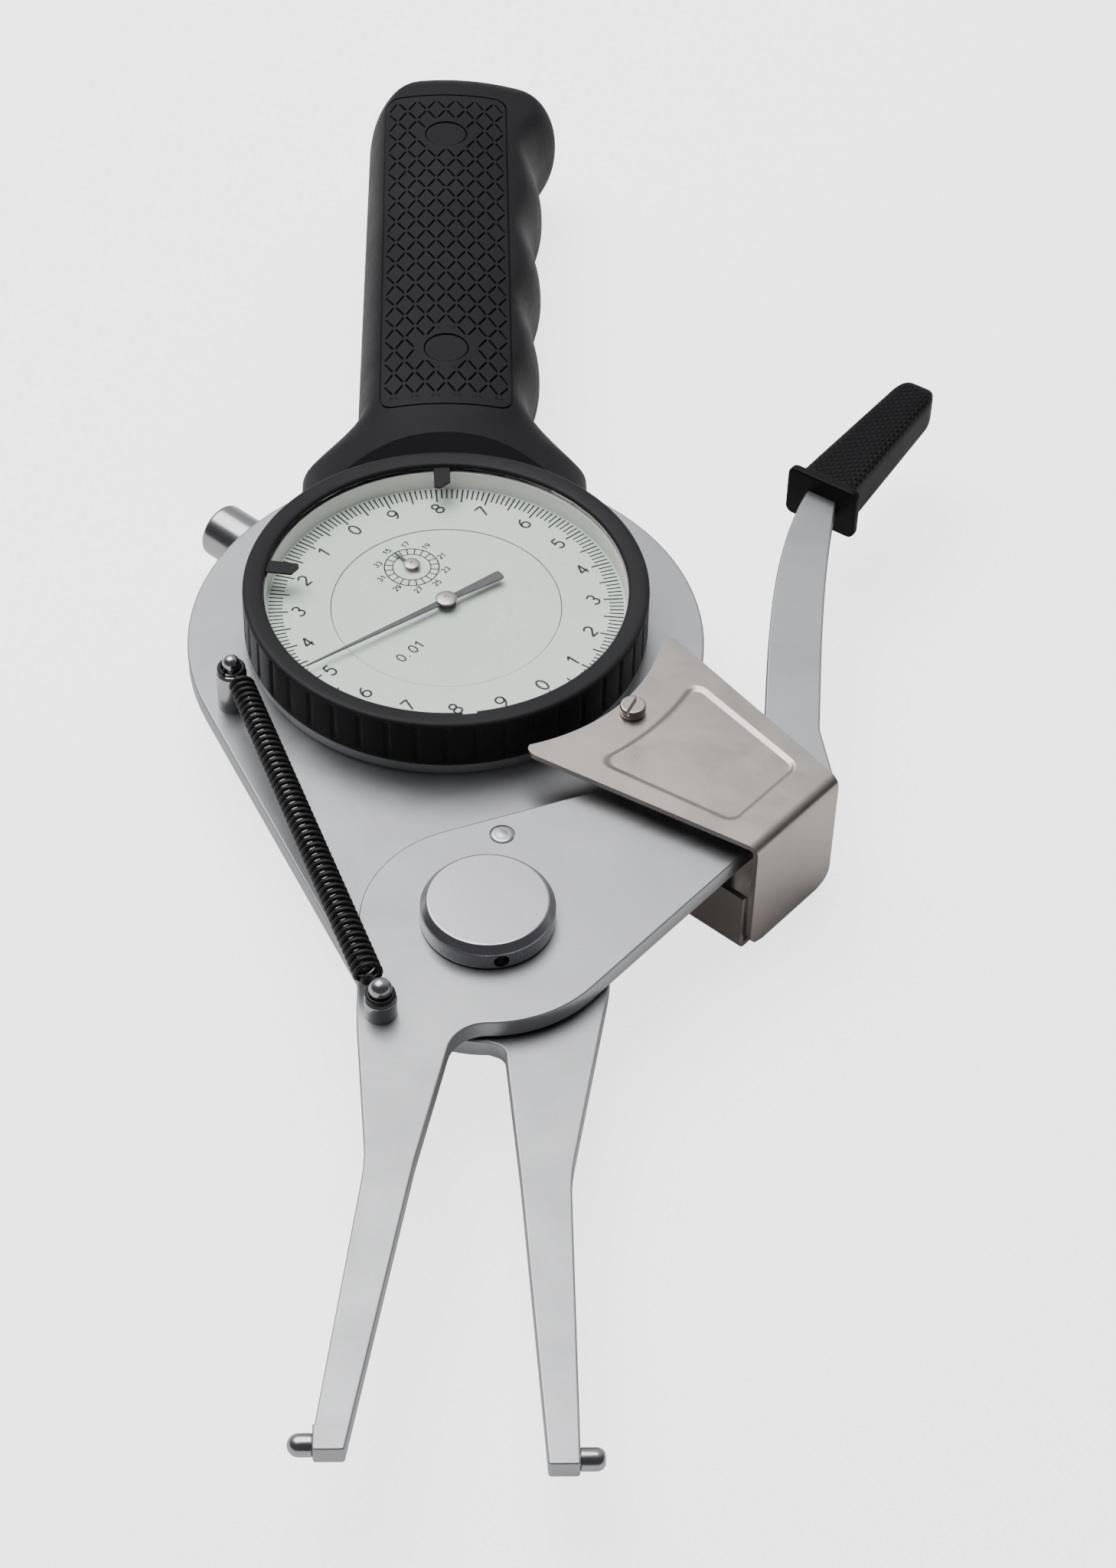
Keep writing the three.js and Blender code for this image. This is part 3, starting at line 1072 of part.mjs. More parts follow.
{
  const near = [BRIDGE_NEAR_X, BRIDGE_NEAR_Y];
  const far = [BRIDGE_FAR_X, BRIDGE_FAR_Y];
  const span = (points, margin, bottom, top) => {
    const bars = points.slice(1).map(([x, y], i) => {
      const [px, py] = points[i];
      const length = Math.hypot(x - px, y - py);
      return block(0, length, -margin, margin, bottom, top)
        .rotateZ(Math.atan2(y - py, x - px)).translate(px, py, 0);
    });
    const ends = points.map(([x, y]) => disc(margin, bottom, top, x, y, SMALL_SEGMENTS));
    return join(...bars, ...ends);
  };
  const upper = span([near, [0, 0], counterArbor, driveArbor, far], BRIDGE_PILLAR_RADIUS,
    BRIDGE_Z, BRIDGE_Z + BRIDGE_THICKNESS);
  const lip = span([near, [0, 0]], BRIDGE_PILLAR_RADIUS, BRIDGE_LIP_Z,
    BRIDGE_LIP_Z + BRIDGE_THICKNESS);
  const bridge = join(upper, lip,
    disc(BRIDGE_PILLAR_RADIUS, BRIDGE_LIP_Z, MOVEMENT_PLATE_Z, ...near, SMALL_SEGMENTS),
    disc(BRIDGE_PILLAR_RADIUS, BRIDGE_Z, MOVEMENT_PLATE_Z, ...far, SMALL_SEGMENTS));
  const bore = (radius, [x, y], from) =>
    disc(radius, from, BRIDGE_Z + BRIDGE_THICKNESS + OVERRUN / 4, x, y, SMALL_SEGMENTS);
  piece('movement_bridge', cut(bridge,
    bore(ARBOR_PIVOT_RADIUS + RUN_GAP, [0, 0], BRIDGE_LIP_Z - OVERRUN),
    bore(pinionRadius + 3 * TOOTH_TIP, [0, 0], BRIDGE_Z - OVERRUN / 4),
    bore(ARBOR_PIVOT_RADIUS + RUN_GAP, counterArbor, BRIDGE_Z - OVERRUN / 4),
    bore(ARBOR_PIVOT_RADIUS + RUN_GAP, driveArbor, BRIDGE_Z - OVERRUN / 4)), BRASS);
}

// Spindle with its rack, and the contact point screwed to it

{
  const arborAlong = ARBOR_DISTANCE * Math.cos(ARBOR_SPREAD);
  const pitchLine = ARBOR_DISTANCE * Math.sin(ARBOR_SPREAD) - rackPinionRadius;
  const margin = rackPinionRadius + RACK_TIP;
  const rackFrom = arborAlong - spindleTravel - margin;
  const rackTo = arborAlong + margin;
  const rod = turned([[0, -SPINDLE_FRONT], [SPINDLE_RADIUS, -SPINDLE_FRONT],
    [SPINDLE_RADIUS, SPINDLE_BACK], [0, SPINDLE_BACK]]).rotateY(Math.PI / 2);
  const flat = block(rackFrom, rackTo, pitchLine + RACK_TIP, SPINDLE_RADIUS + OVERRUN,
    -SPINDLE_RADIUS - OVERRUN, SPINDLE_RADIUS + OVERRUN);
  const above = pitchLine + RACK_TIP + OVERRUN;
  const outline = [[rackTo, above], [rackFrom, above]];
  const first = Math.ceil((rackFrom - arborAlong) / rackPitch + 0.5);
  const last = Math.floor((rackTo - arborAlong) / rackPitch - 0.5);
  outline.push([rackFrom, pitchLine - RACK_ROOT]);
  for (let i = first; i <= last; i += 1) {
    const at = (share, y) => [arborAlong + (i + share) * rackPitch, y];
    const half = TOOTH_WIDTH_SHARE;
    outline.push(at(-half * 0.7, pitchLine - RACK_ROOT), at(-half * 0.3, pitchLine + RACK_TIP),
      at(half * 0.3, pitchLine + RACK_TIP), at(half * 0.7, pitchLine - RACK_ROOT));
  }
  outline.push([rackTo, pitchLine - RACK_ROOT]);
  const teeth = prism(outline.reverse(), -SPINDLE_RADIUS - OVERRUN, SPINDLE_RADIUS + OVERRUN);
  piece('spindle', cut(rod, flat, teeth).rotateZ(INDICATOR_AXIS).translate(0, 0, SPINDLE_Z),
    BRIGHT_STEEL);
  piece('contact_point', lay(turned([
    [0, 0],
    [POINT_RADIUS, 0],
    [POINT_RADIUS, POINT_LENGTH / 3],
    [POINT_NECK, POINT_LENGTH / 2],
    [POINT_NECK, POINT_LENGTH - POINT_TIP_RADIUS],
    ...arc(0, POINT_LENGTH - POINT_TIP_RADIUS, POINT_TIP_RADIUS, 0, Math.PI / 2,
      2 * ARC_STEP).slice(1, -1),
    [0, POINT_LENGTH],
  ], SMALL_SEGMENTS), COVER_AXIS, ...polar(SPINDLE_FRONT, COVER_AXIS), SPINDLE_Z), BRIGHT_STEEL);
}

// Dial faces, bezel, crystal and limit markers

const dialBottom = DIAL_TOP - DIAL_THICKNESS;
const bezelSeat = DIAL_RING_RADIUS + FIT_GAP;

piece('inner_dial', prism(circle(INNER_DIAL_RADIUS, 0, 0, FINE_SEGMENTS), dialBottom, DIAL_TOP, [
  circle(ARBOR_RADIUS + RUN_GAP, 0, 0, SMALL_SEGMENTS),
  circle(ARBOR_RADIUS + RUN_GAP, ...counterArbor, SMALL_SEGMENTS),
]), DIAL_PAINT);

piece('dial_ring', turned([
  [DIAL_RING_BORE, dialBottom],
  [DIAL_RING_RADIUS, dialBottom],
  [DIAL_RING_RADIUS, DIAL_TOP],
  [DIAL_RING_BORE, DIAL_TOP],
], FINE_SEGMENTS), DIAL_PAINT);

piece('dial_spacer', turned([
  [DIAL_RING_RADIUS - SPACER_WALL, DIAL_TOP],
  [DIAL_RING_RADIUS, DIAL_TOP],
  [DIAL_RING_RADIUS, CRYSTAL_BOTTOM],
  [DIAL_RING_RADIUS - SPACER_WALL, CRYSTAL_BOTTOM],
], FINE_SEGMENTS), SPACER_PAINT);

piece('crystal', disc(DIAL_RING_RADIUS, CRYSTAL_BOTTOM, CRYSTAL_BOTTOM + CRYSTAL_THICKNESS,
  0, 0, FINE_SEGMENTS), GLASS);

{
  const ring = turned([
    [BEZEL_BORE, BEZEL_BOTTOM],
    [BEZEL_RADIUS, BEZEL_BOTTOM],
    [BEZEL_RADIUS, BEZEL_TOP - BEZEL_SHOULDER],
    [BEZEL_RIM_RADIUS, BEZEL_TOP],
    [BEZEL_OPENING, BEZEL_TOP],
    [BEZEL_OPENING, MARKER_GROOVE_TOP],
    [MARKER_GROOVE_RADIUS, MARKER_GROOVE_TOP],
    [MARKER_GROOVE_RADIUS, CRYSTAL_BOTTOM + CRYSTAL_THICKNESS],
    [bezelSeat, CRYSTAL_BOTTOM + CRYSTAL_THICKNESS],
    [bezelSeat, dialBottom],
    [BEZEL_LEDGE_BORE, dialBottom],
    [BEZEL_LEDGE_BORE, BEZEL_LEDGE_BOTTOM],
    [BEZEL_BORE, BEZEL_LEDGE_BOTTOM],
  ], FINE_SEGMENTS);
  piece('bezel', ring, BLACK_BEZEL);
}

for (const [name, angle] of Object.entries(MARKER_ANGLES)) {
  const half = MARKER_WIDTH / 2;
  const outer = MARKER_GROOVE_RADIUS - RUN_GAP;
  const foot = Math.sqrt(outer ** 2 - half ** 2);
  const bottom = CRYSTAL_BOTTOM + CRYSTAL_THICKNESS + RUN_GAP;
  const turn = THREE.MathUtils.degToRad(angle);
  const side = name === 'limit_marker_upper' ? 1 : -1;
  piece(name, prism([
    [foot, -half],
    [foot, half],
    [MARKER_TIP + (side > 0 ? 0 : half / 2), half],
    [MARKER_TIP - half / 4, side * half / 3],
    [MARKER_TIP + (side > 0 ? half : 0), -half],
  ].reverse(), bottom, bottom + MARKER_THICKNESS - 2 * RUN_GAP).rotateZ(turn), BLACK_BEZEL);
}

// Hands

/** A hand's outline along +X: a tapered pointer, a round eye and a wider tail. */
function handOutline(tip, tipHalf, rootHalf, eye, tail, tailHalf) {
  const tailRound = tailHalf / 2;
  return rounded([
    [-tail, -tailHalf, tailRound],
    [-eye, -rootHalf],
    ...arc(0, 0, eye, -Math.PI + Math.asin(rootHalf / eye), -Math.asin(rootHalf / eye), 3 * ARC_STEP),
    [tip, -tipHalf],
    [tip, tipHalf],
    ...arc(0, 0, eye, Math.asin(rootHalf / eye), Math.PI - Math.asin(rootHalf / eye), 3 * ARC_STEP),
    [-eye, rootHalf],
    [-tail, tailHalf, tailRound],
  ]);
}

const pinHole = () => circle(ARBOR_PIVOT_RADIUS + FIT_GAP, 0, 0, SMALL_SEGMENTS);

piece('main_hand', prism(handOutline(MAIN_HAND_TIP, MAIN_HAND_TIP_HALF, MAIN_HAND_ROOT_HALF,
  HAND_EYE_RADIUS, MAIN_HAND_TAIL, MAIN_HAND_TAIL_HALF), MAIN_HAND_Z, MAIN_HAND_Z + HAND_THICKNESS,
[pinHole()]).rotateZ(MAIN_HAND_ANGLE), HAND_PAINT);

/** A domed cap that holds a hand on its arbor. */
const handCap = (radius, bottom, top) => turned([
  [ARBOR_PIVOT_RADIUS + FIT_GAP, bottom],
  [radius * 0.7, bottom],
  [radius, bottom + (top - bottom) * 0.35],
  [radius * 0.85, bottom + (top - bottom) * 0.75],
  [radius * 0.45, top],
  [ARBOR_PIVOT_RADIUS + FIT_GAP, top],
], SMALL_SEGMENTS);

piece('main_hand_cap', handCap(CAP_RADIUS, MAIN_HAND_Z + HAND_THICKNESS + FIT_GAP, CAP_TOP), NICKEL);

piece('counter_hand', prism(handOutline(SMALL_HAND_LENGTH, SMALL_HAND_HALF / 2, SMALL_HAND_HALF,
  HAND_EYE_RADIUS * 0.7, SMALL_HAND_TAIL, SMALL_HAND_HALF), SMALL_HAND_Z,
SMALL_HAND_Z + HAND_THICKNESS, [pinHole()])
  .rotateZ(SMALL_HAND_ANGLE).translate(...counterArbor, 0), HAND_PAINT);
piece('counter_hand_cap', handCap(SMALL_CAP_RADIUS, SMALL_HAND_Z + HAND_THICKNESS + FIT_GAP,
  SMALL_CAP_TOP).translate(...counterArbor, 0), NICKEL);

// Sheet cover with its embossed panel and end flap, and the tray below

{
  const wing = Math.atan2(COVER_WIDE_HALF - COVER_TIP_ROUND, COVER_WIDE_AT);
  const plan = rounded([
    [COVER_WIDE_AT, -COVER_WIDE_HALF, COVER_TIP_ROUND],
    [COVER_END, -COVER_NARROW_HALF],
    [COVER_END, COVER_NARROW_HALF],
    [COVER_WIDE_AT, COVER_WIDE_HALF, COVER_TIP_ROUND],
    ...arc(0, 0, COVER_ARC_RADIUS, wing, -wing),
  ]);
  const flap = prism(rounded([
    [COVER_TOP - COVER_END_BOTTOM, -COVER_NARROW_HALF, COVER_CORNER_ROUND],
    [COVER_TOP - COVER_END_BOTTOM, COVER_NARROW_HALF, COVER_CORNER_ROUND],
    [0, COVER_NARROW_HALF],
    [0, -COVER_NARROW_HALF],
  ]), COVER_END - SHEET, COVER_END).rotateY(Math.PI / 2)
    .translate(0, 0, COVER_TOP);
  const panelPlan = rounded([
    [PANEL_START, -PANEL_WIDE_HALF, PANEL_INSET / 2],
    [PANEL_END, -PANEL_NARROW_HALF, PANEL_INSET / 4],
    [PANEL_END, PANEL_NARROW_HALF, PANEL_INSET / 4],
    [PANEL_START, PANEL_WIDE_HALF, PANEL_INSET / 2],
    ...arc(0, 0, Math.hypot(PANEL_START, PANEL_WIDE_HALF) + PANEL_INSET / 4, 0.2, -0.2),
  ]);
  const panel = new THREE.ExtrudeGeometry(toShape(panelPlan), {
    depth: SHEET / 4, bevelEnabled: true, bevelSize: PANEL_HEIGHT, bevelOffset: -PANEL_HEIGHT,
    bevelThickness: PANEL_HEIGHT, bevelSegments: 1,
  }).translate(0, 0, COVER_TOP - SHEET / 4);
  const hole = disc(COVER_SCREW_RADIUS + FIT_GAP, COVER_TOP - SHEET - OVERRUN, COVER_TOP + OVERRUN,
    COVER_POST_AT, 0, SMALL_SEGMENTS);
  const cover = cut(join(prism(plan, COVER_TOP - SHEET, COVER_TOP), flap, panel), hole);
  piece('cover', cover.rotateZ(COVER_AXIS), NICKEL);

  const bore = COVER_SCREW_RADIUS + FIT_GAP;
  piece('cover_post', turned([
    [bore, MAIN_PLATE_TOP],
    [COVER_POST_RADIUS, MAIN_PLATE_TOP],
    [COVER_POST_RADIUS, COVER_TOP - SHEET],
    [bore, COVER_TOP - SHEET],
  ], SMALL_SEGMENTS).translate(coverPostX, coverPostY, 0), BRIGHT_STEEL);

  const headTop = COVER_TOP + COVER_SCREW_HEAD_HEIGHT;
  const screw = turned([
    [0, MAIN_PLATE_BOTTOM],
    [COVER_SCREW_RADIUS, MAIN_PLATE_BOTTOM],
    [COVER_SCREW_RADIUS, COVER_TOP + FIT_GAP],
    [COVER_SCREW_HEAD_RADIUS, COVER_TOP + FIT_GAP],
    [COVER_SCREW_HEAD_RADIUS, headTop - FIT_GAP * 4],
    [COVER_SCREW_HEAD_RADIUS - FIT_GAP * 4, headTop],
    [0, headTop],
  ], SMALL_SEGMENTS);
  const slot = block(-OVERRUN - COVER_SCREW_HEAD_RADIUS, OVERRUN + COVER_SCREW_HEAD_RADIUS,
    -SCREW_SLOT_WIDTH / 2, SCREW_SLOT_WIDTH / 2, headTop - SCREW_SLOT_DEPTH, headTop + OVERRUN)
    .rotateZ(THREE.MathUtils.degToRad(64));
  piece('cover_screw', cut(screw, slot).translate(coverPostX, coverPostY, 0), NICKEL);
}

{
  const half = TRAY_HALF;
  const floorPlan = rounded([
    [TRAY_START_RADIUS * Math.cos(Math.asin(half / TRAY_START_RADIUS)), -half],
    [TRAY_END, -half, TRAY_NOSE / 2],
    [TRAY_END, half, TRAY_NOSE / 2],
    [TRAY_START_RADIUS * Math.cos(Math.asin(half / TRAY_START_RADIUS)), half],
    ...arc(0, 0, TRAY_START_RADIUS, Math.asin(half / TRAY_START_RADIUS) * 0.9,
      -Math.asin(half / TRAY_START_RADIUS) * 0.9),
  ]);
  const outside = prism(floorPlan, TRAY_BOTTOM, TRAY_WALL_TOP);
  const inside = block(0, COVER_END + OVERRUN, -half + SHEET, half - SHEET,
    TRAY_BOTTOM + SHEET, TRAY_WALL_TOP + OVERRUN);
  const pillars = [-PILLAR_HALF_SPREAD, PILLAR_HALF_SPREAD];
  const holes = pillars.map((v) =>
    disc(PILLAR_BORE + FIT_GAP, TRAY_BOTTOM - OVERRUN, TRAY_BOTTOM + SHEET + OVERRUN, PILLAR_AT, v,
      SMALL_SEGMENTS));
  piece('cover_tray', cut(outside, inside, ...holes).rotateZ(COVER_AXIS), NICKEL);
  pillars.forEach((v, i) => {
    const side = i === 0 ? 'front' : 'rear';
    const [x, y] = onCover(PILLAR_AT, v);
    const top = TRAY_BOTTOM + SHEET + TRAY_SCREW_LENGTH;
    piece(`tray_pillar_${side}`, turned([
      [PILLAR_BORE + FIT_GAP, TRAY_BOTTOM + SHEET],
      [PILLAR_RADIUS, TRAY_BOTTOM + SHEET],
      [PILLAR_RADIUS, MAIN_PLATE_BOTTOM],
      [0, MAIN_PLATE_BOTTOM],
      [0, top],
      [PILLAR_BORE + FIT_GAP, top],
      [PILLAR_BORE + FIT_GAP, TRAY_BOTTOM + SHEET],
    ], SMALL_SEGMENTS).translate(x, y, 0), BRIGHT_STEEL);
    const head = TRAY_BOTTOM - TRAY_SCREW_HEAD_HEIGHT;
    const screw = turned([
      [0, head],
      [TRAY_SCREW_HEAD - FIT_GAP * 4, head],
      [TRAY_SCREW_HEAD, head + FIT_GAP * 4],
      [TRAY_SCREW_HEAD, TRAY_BOTTOM - FIT_GAP],
      [PILLAR_BORE, TRAY_BOTTOM - FIT_GAP],
      [PILLAR_BORE, top - SEAT_GAP],
      [0, top - SEAT_GAP],
    ], SMALL_SEGMENTS);
    const slot = block(-TRAY_SCREW_HEAD - OVERRUN, TRAY_SCREW_HEAD + OVERRUN,
      -SCREW_SLOT_WIDTH / 2, SCREW_SLOT_WIDTH / 2, head - OVERRUN, head + SCREW_SLOT_DEPTH / 2);
    piece(`tray_screw_${side}`, cut(screw, slot).translate(x, y, 0), NICKEL);
  });
}

// Handle: two moulded shells clamped on the tang

/** The handle's reach to the left and right of its centre line, y along the handle. */
function handleSides(y) {
  const share = THREE.MathUtils.clamp((SHOULDER_START - y) / SHOULDER_LENGTH, 0, 1);
  const flare = ((share + THREE.MathUtils.smoothstep(share, 0, 1)) / 2) ** SHOULDER_POWER;
  const along = (y - SHOULDER_FULL) / (HANDLE_FAR - SHOULDER_FULL);
  const wave = GROOVE_DEPTH * Math.cos((2 * Math.PI * (y - GROOVE_CREST)) / GROOVE_PITCH);
  const hook = HOOK_RISE * Math.exp(-(((y - HOOK_CREST) / HOOK_SPREAD) ** 2));
  const right = HANDLE_RIGHT + HANDLE_RIGHT_RISE * along + wave * (1 - flare) + hook;
  const left = HANDLE_LEFT + (HANDLE_LEFT_FAR - HANDLE_LEFT) * along;
  const shrink = (round) => {
    const end = THREE.MathUtils.clamp((y - HANDLE_FAR + round) / round, 0, 1);
    return round * (1 - (1 - end ** 2.3) ** (1 / 2.3));
  };
  return [
    left + (SHOULDER_LEFT - left) * flare - shrink(HANDLE_END_LEFT_ROUND),
    right + (SHOULDER_RIGHT - right) * flare - shrink(HANDLE_END_RIGHT_ROUND),
    flare,
  ];
}

const SECTION_CORNER_STEPS = 5;
const HANDLE_STATIONS = 30;

/** One half of the handle as a loft of round-shouldered sections; side is +1 up or -1 down. */
function handleHalf(height, side, plainEdge, power) {
  const vertices = [];
  const faces = [];
  const count = 2 * (SECTION_CORNER_STEPS + 1);
  for (let i = 0; i <= HANDLE_STATIONS; i += 1) {
    const share = i / HANDLE_STATIONS;
    const y = HANDLE_NEAR + (HANDLE_FAR - HANDLE_NEAR) * (1 - (1 - share) ** 1.25);
    const [left, right, flare] = handleSides(Math.min(y, HANDLE_FAR - 1e-3 * HANDLE_FAR));
    const end = THREE.MathUtils.clamp((y - HANDLE_FAR + HANDLE_TOP_ROUND) / HANDLE_TOP_ROUND, 0, 1);
    const top = height - HANDLE_TOP_ROUND * (1 - Math.sqrt(1 - (0.99 * end) ** 2));
    const edge = plainEdge + (SHOULDER_EDGE - plainEdge) * flare;
    const corner = Array.from({ length: SECTION_CORNER_STEPS + 1 }, (_, k) => {
      const a = (Math.PI / 2) * (k / SECTION_CORNER_STEPS);
      return [edge * (1 - Math.cos(a) ** (2 / power)), top * Math.sin(a) ** (2 / power)];
    });
    const section = [
      ...corner.map(([inset, z]) => [right - inset, z]),
      ...corner.map(([inset, z]) => [-left + inset, z]).reverse(),
    ];
    for (const [x, z] of section) vertices.push(x, y, HANDLE_SPLIT + side * z);
  }
  for (let i = 0; i < HANDLE_STATIONS; i += 1) {
    for (let k = 0; k < count; k += 1) {
      const a = i * count + k;
      const b = i * count + ((k + 1) % count);
      faces.push(a, b, b + count, a, b + count, a + count);
    }
  }
  const last = HANDLE_STATIONS * count;
  for (let k = 1; k + 1 < count; k += 1) {
    faces.push(0, k + 1, k, last, last + k, last + k + 1);
  }
  const geometry = new THREE.BufferGeometry();
  geometry.setAttribute('position', new THREE.Float32BufferAttribute(vertices, 3));
  geometry.setIndex(faces);
  return geometry;
}

/** The room that both shells leave for the head plate and its tang. */
const plateRoom = () => join(
  disc(HEAD_RADIUS + SEAT_GAP, MAIN_PLATE_BOTTOM - FIT_GAP, MAIN_PLATE_TOP + FIT_GAP, 0, 0,
    FINE_SEGMENTS),
  block(-TANG_WIDTH / 2 - SEAT_GAP, TANG_WIDTH / 2 + SEAT_GAP, 0, TANG_END + SEAT_GAP,
    MAIN_PLATE_BOTTOM - FIT_GAP, MAIN_PLATE_TOP + FIT_GAP),
  block(-TANG_WIDTH / 2 - TANG_FILLET - SEAT_GAP, TANG_WIDTH / 2 + TANG_FILLET + SEAT_GAP, 0,
    HEAD_RADIUS + TANG_FILLET, MAIN_PLATE_BOTTOM - FIT_GAP, MAIN_PLATE_TOP + FIT_GAP));

const handlePanel = (bottom, top) => prism(rounded([
  [-HANDLE_PANEL_HALF, HANDLE_PANEL_START, HANDLE_PANEL_ROUND],
  [HANDLE_PANEL_HALF, HANDLE_PANEL_START, HANDLE_PANEL_ROUND],
  [HANDLE_PANEL_HALF, HANDLE_PANEL_END, HANDLE_PANEL_ROUND],
  [-HANDLE_PANEL_HALF, HANDLE_PANEL_END, HANDLE_PANEL_ROUND],
]), bottom, top);

{
  const panelFloor = HANDLE_TOP - HANDLE_PANEL_DEPTH;
  const plugSeat = panelFloor + PLUG_PROUD - PLUG_HEIGHT;
  const headSeat = plugSeat - HANDLE_SCREW_HEAD_HEIGHT - 2 * SEAT_GAP;
  const screws = Object.values(PLUG_PLACES);
  const frontHoles = screws.flatMap((y) => [
    disc(PLUG_RADIUS + FIT_GAP, plugSeat, HANDLE_TOP + OVERRUN, 0, y),
    disc(HANDLE_SCREW_HEAD + FIT_GAP, headSeat, HANDLE_TOP + OVERRUN, 0, y, SMALL_SEGMENTS),
    disc(HANDLE_SCREW_RADIUS + FIT_GAP, 0, HANDLE_TOP, 0, y, SMALL_SEGMENTS),
  ]);
  const front = handleHalf(HANDLE_TOP - HANDLE_SPLIT, 1, HANDLE_EDGE, HANDLE_EDGE_POWER);
  piece('handle_front_shell', cut(front,
    disc(FRONT_NEAR_RADIUS, MAIN_PLATE_BOTTOM, HANDLE_TOP + OVERRUN, 0, 0, FINE_SEGMENTS),
    plateRoom(), handlePanel(panelFloor, HANDLE_TOP + OVERRUN), ...frontHoles), BLACK_PLASTIC);

  const backHoles = screws.map((y) =>
    disc(HANDLE_SCREW_RADIUS + FIT_GAP, HANDLE_SCREW_END - SEAT_GAP, HANDLE_TOP, 0, y, SMALL_SEGMENTS));
  const capRoom = lay(disc(STEM_RADIUS + CAP_ROOM, STEM_START, CAP_END + CAP_ROOM), INDICATOR_AXIS,
    0, 0, SPINDLE_Z);
  piece('handle_back_shell', cut(handleHalf(HANDLE_SPLIT, -1, BACK_EDGE, BACK_EDGE_POWER),
    disc(BACK_NEAR_RADIUS, -OVERRUN, HANDLE_TOP, 0, 0, FINE_SEGMENTS), plateRoom(), capRoom,
    ...backHoles), BLACK_PLASTIC);

  for (const [place, y] of Object.entries(PLUG_PLACES)) {
    piece(`handle_plug_${place}`, disc(PLUG_RADIUS, plugSeat + FIT_GAP, panelFloor + PLUG_PROUD,
      0, y), BLACK_PLASTIC);
    const headTop = headSeat + HANDLE_SCREW_HEAD_HEIGHT;
    piece(`handle_screw_${place}`, turned([
      [0, HANDLE_SCREW_END],
      [HANDLE_SCREW_RADIUS, HANDLE_SCREW_END],
      [HANDLE_SCREW_RADIUS, headSeat + FIT_GAP],
      [HANDLE_SCREW_HEAD, headSeat + FIT_GAP],
      [HANDLE_SCREW_HEAD, headTop],
      [0, headTop],
    ], SMALL_SEGMENTS).translate(0, y, 0), BRIGHT_STEEL);
  }
}

console.log(`arm swing ${THREE.MathUtils.radToDeg(SWING).toFixed(2)} deg; per radian: spindle `
  + `${(spindleTravel / SWING).toFixed(4)} mm, main hand ${((2 * Math.PI * mainTurns) / SWING).toFixed(4)},`
  + ` wheels ${((2 * Math.PI * wheelTurns) / SWING).toFixed(4)}; rack pitch ${rackPitch.toFixed(4)} mm`);

export default root;
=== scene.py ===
import json
import math

import bmesh
import bpy
import numpy as np
from mathutils import Matrix, Vector
from mathutils.geometry import tessellate_polygon


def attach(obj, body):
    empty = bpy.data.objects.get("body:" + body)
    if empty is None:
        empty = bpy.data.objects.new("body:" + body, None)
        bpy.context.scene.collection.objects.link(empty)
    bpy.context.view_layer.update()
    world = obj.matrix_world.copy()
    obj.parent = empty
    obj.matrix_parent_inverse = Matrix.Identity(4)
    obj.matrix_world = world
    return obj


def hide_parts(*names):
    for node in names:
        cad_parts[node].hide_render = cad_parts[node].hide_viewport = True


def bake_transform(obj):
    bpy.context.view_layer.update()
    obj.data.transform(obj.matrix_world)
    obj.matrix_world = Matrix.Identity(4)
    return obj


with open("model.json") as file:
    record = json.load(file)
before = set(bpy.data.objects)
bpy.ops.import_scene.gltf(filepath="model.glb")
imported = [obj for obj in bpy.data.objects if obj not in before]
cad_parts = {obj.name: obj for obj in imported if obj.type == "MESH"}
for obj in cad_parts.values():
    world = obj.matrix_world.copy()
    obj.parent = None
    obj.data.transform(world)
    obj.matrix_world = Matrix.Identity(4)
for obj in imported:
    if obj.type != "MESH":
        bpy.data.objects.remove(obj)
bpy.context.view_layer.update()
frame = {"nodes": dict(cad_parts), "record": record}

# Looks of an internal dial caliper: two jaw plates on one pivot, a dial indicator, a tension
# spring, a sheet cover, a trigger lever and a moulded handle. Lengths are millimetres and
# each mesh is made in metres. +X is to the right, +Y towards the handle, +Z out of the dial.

record = frame["record"]
BODY_OF = {node: body for body, nodes in record["behaviour"]["bodies"].items() for node in nodes}
SLOT_OF = {row["node"]: row["material_slot"] for row in record["subparts"]}

MM = 0.001
PI = math.pi
RAD = math.radians
SQUARE = ((-1, -1), (1, -1), (1, 1), (-1, 1))

# Jaw plates, pivot and legs
MAIN_BOTTOM, MAIN_TOP = 10.8, 13.5
ARM_BOTTOM, ARM_TOP = 14.0, 16.7
MAIN_MIDDLE, ARM_MIDDLE = (MAIN_BOTTOM + MAIN_TOP) / 2, (ARM_BOTTOM + ARM_TOP) / 2
PIVOT = np.array([5.2, -56.1])
SWING = RAD(14.72)
JAW_REACH = 77.15
JAW_OPENING = 35.48
LEG_END = 78.6
LEG_TIP_WIDTH = 3.6
LEG_KNEE = 38.4
KNEE_ROUND = 30
CONTACT_RADIUS = 1.35
CONTACT_LENGTH = 2.85
HEAD_RADIUS = 35.7
HUB_RADIUS = 17.6
PLATE_EDGE = 0.22
STOP_PIN = (2.0, 14.7)

# Lever and its grip
LEVER_SPINE = np.array([[41, 34.5], [41.9, 44], [43.2, 56], [44.8, 66.5], [46.4, 74],
                        [48.5, 81.45]])
LEVER_WIDTH, TONGUE_WIDTH, TONGUE_LENGTH = 7.4, 4.6, 14.0
LEVER_FOOT = PIVOT + LEVER_SPINE[-1]
GRIP_DIRECTION = RAD(54.9)

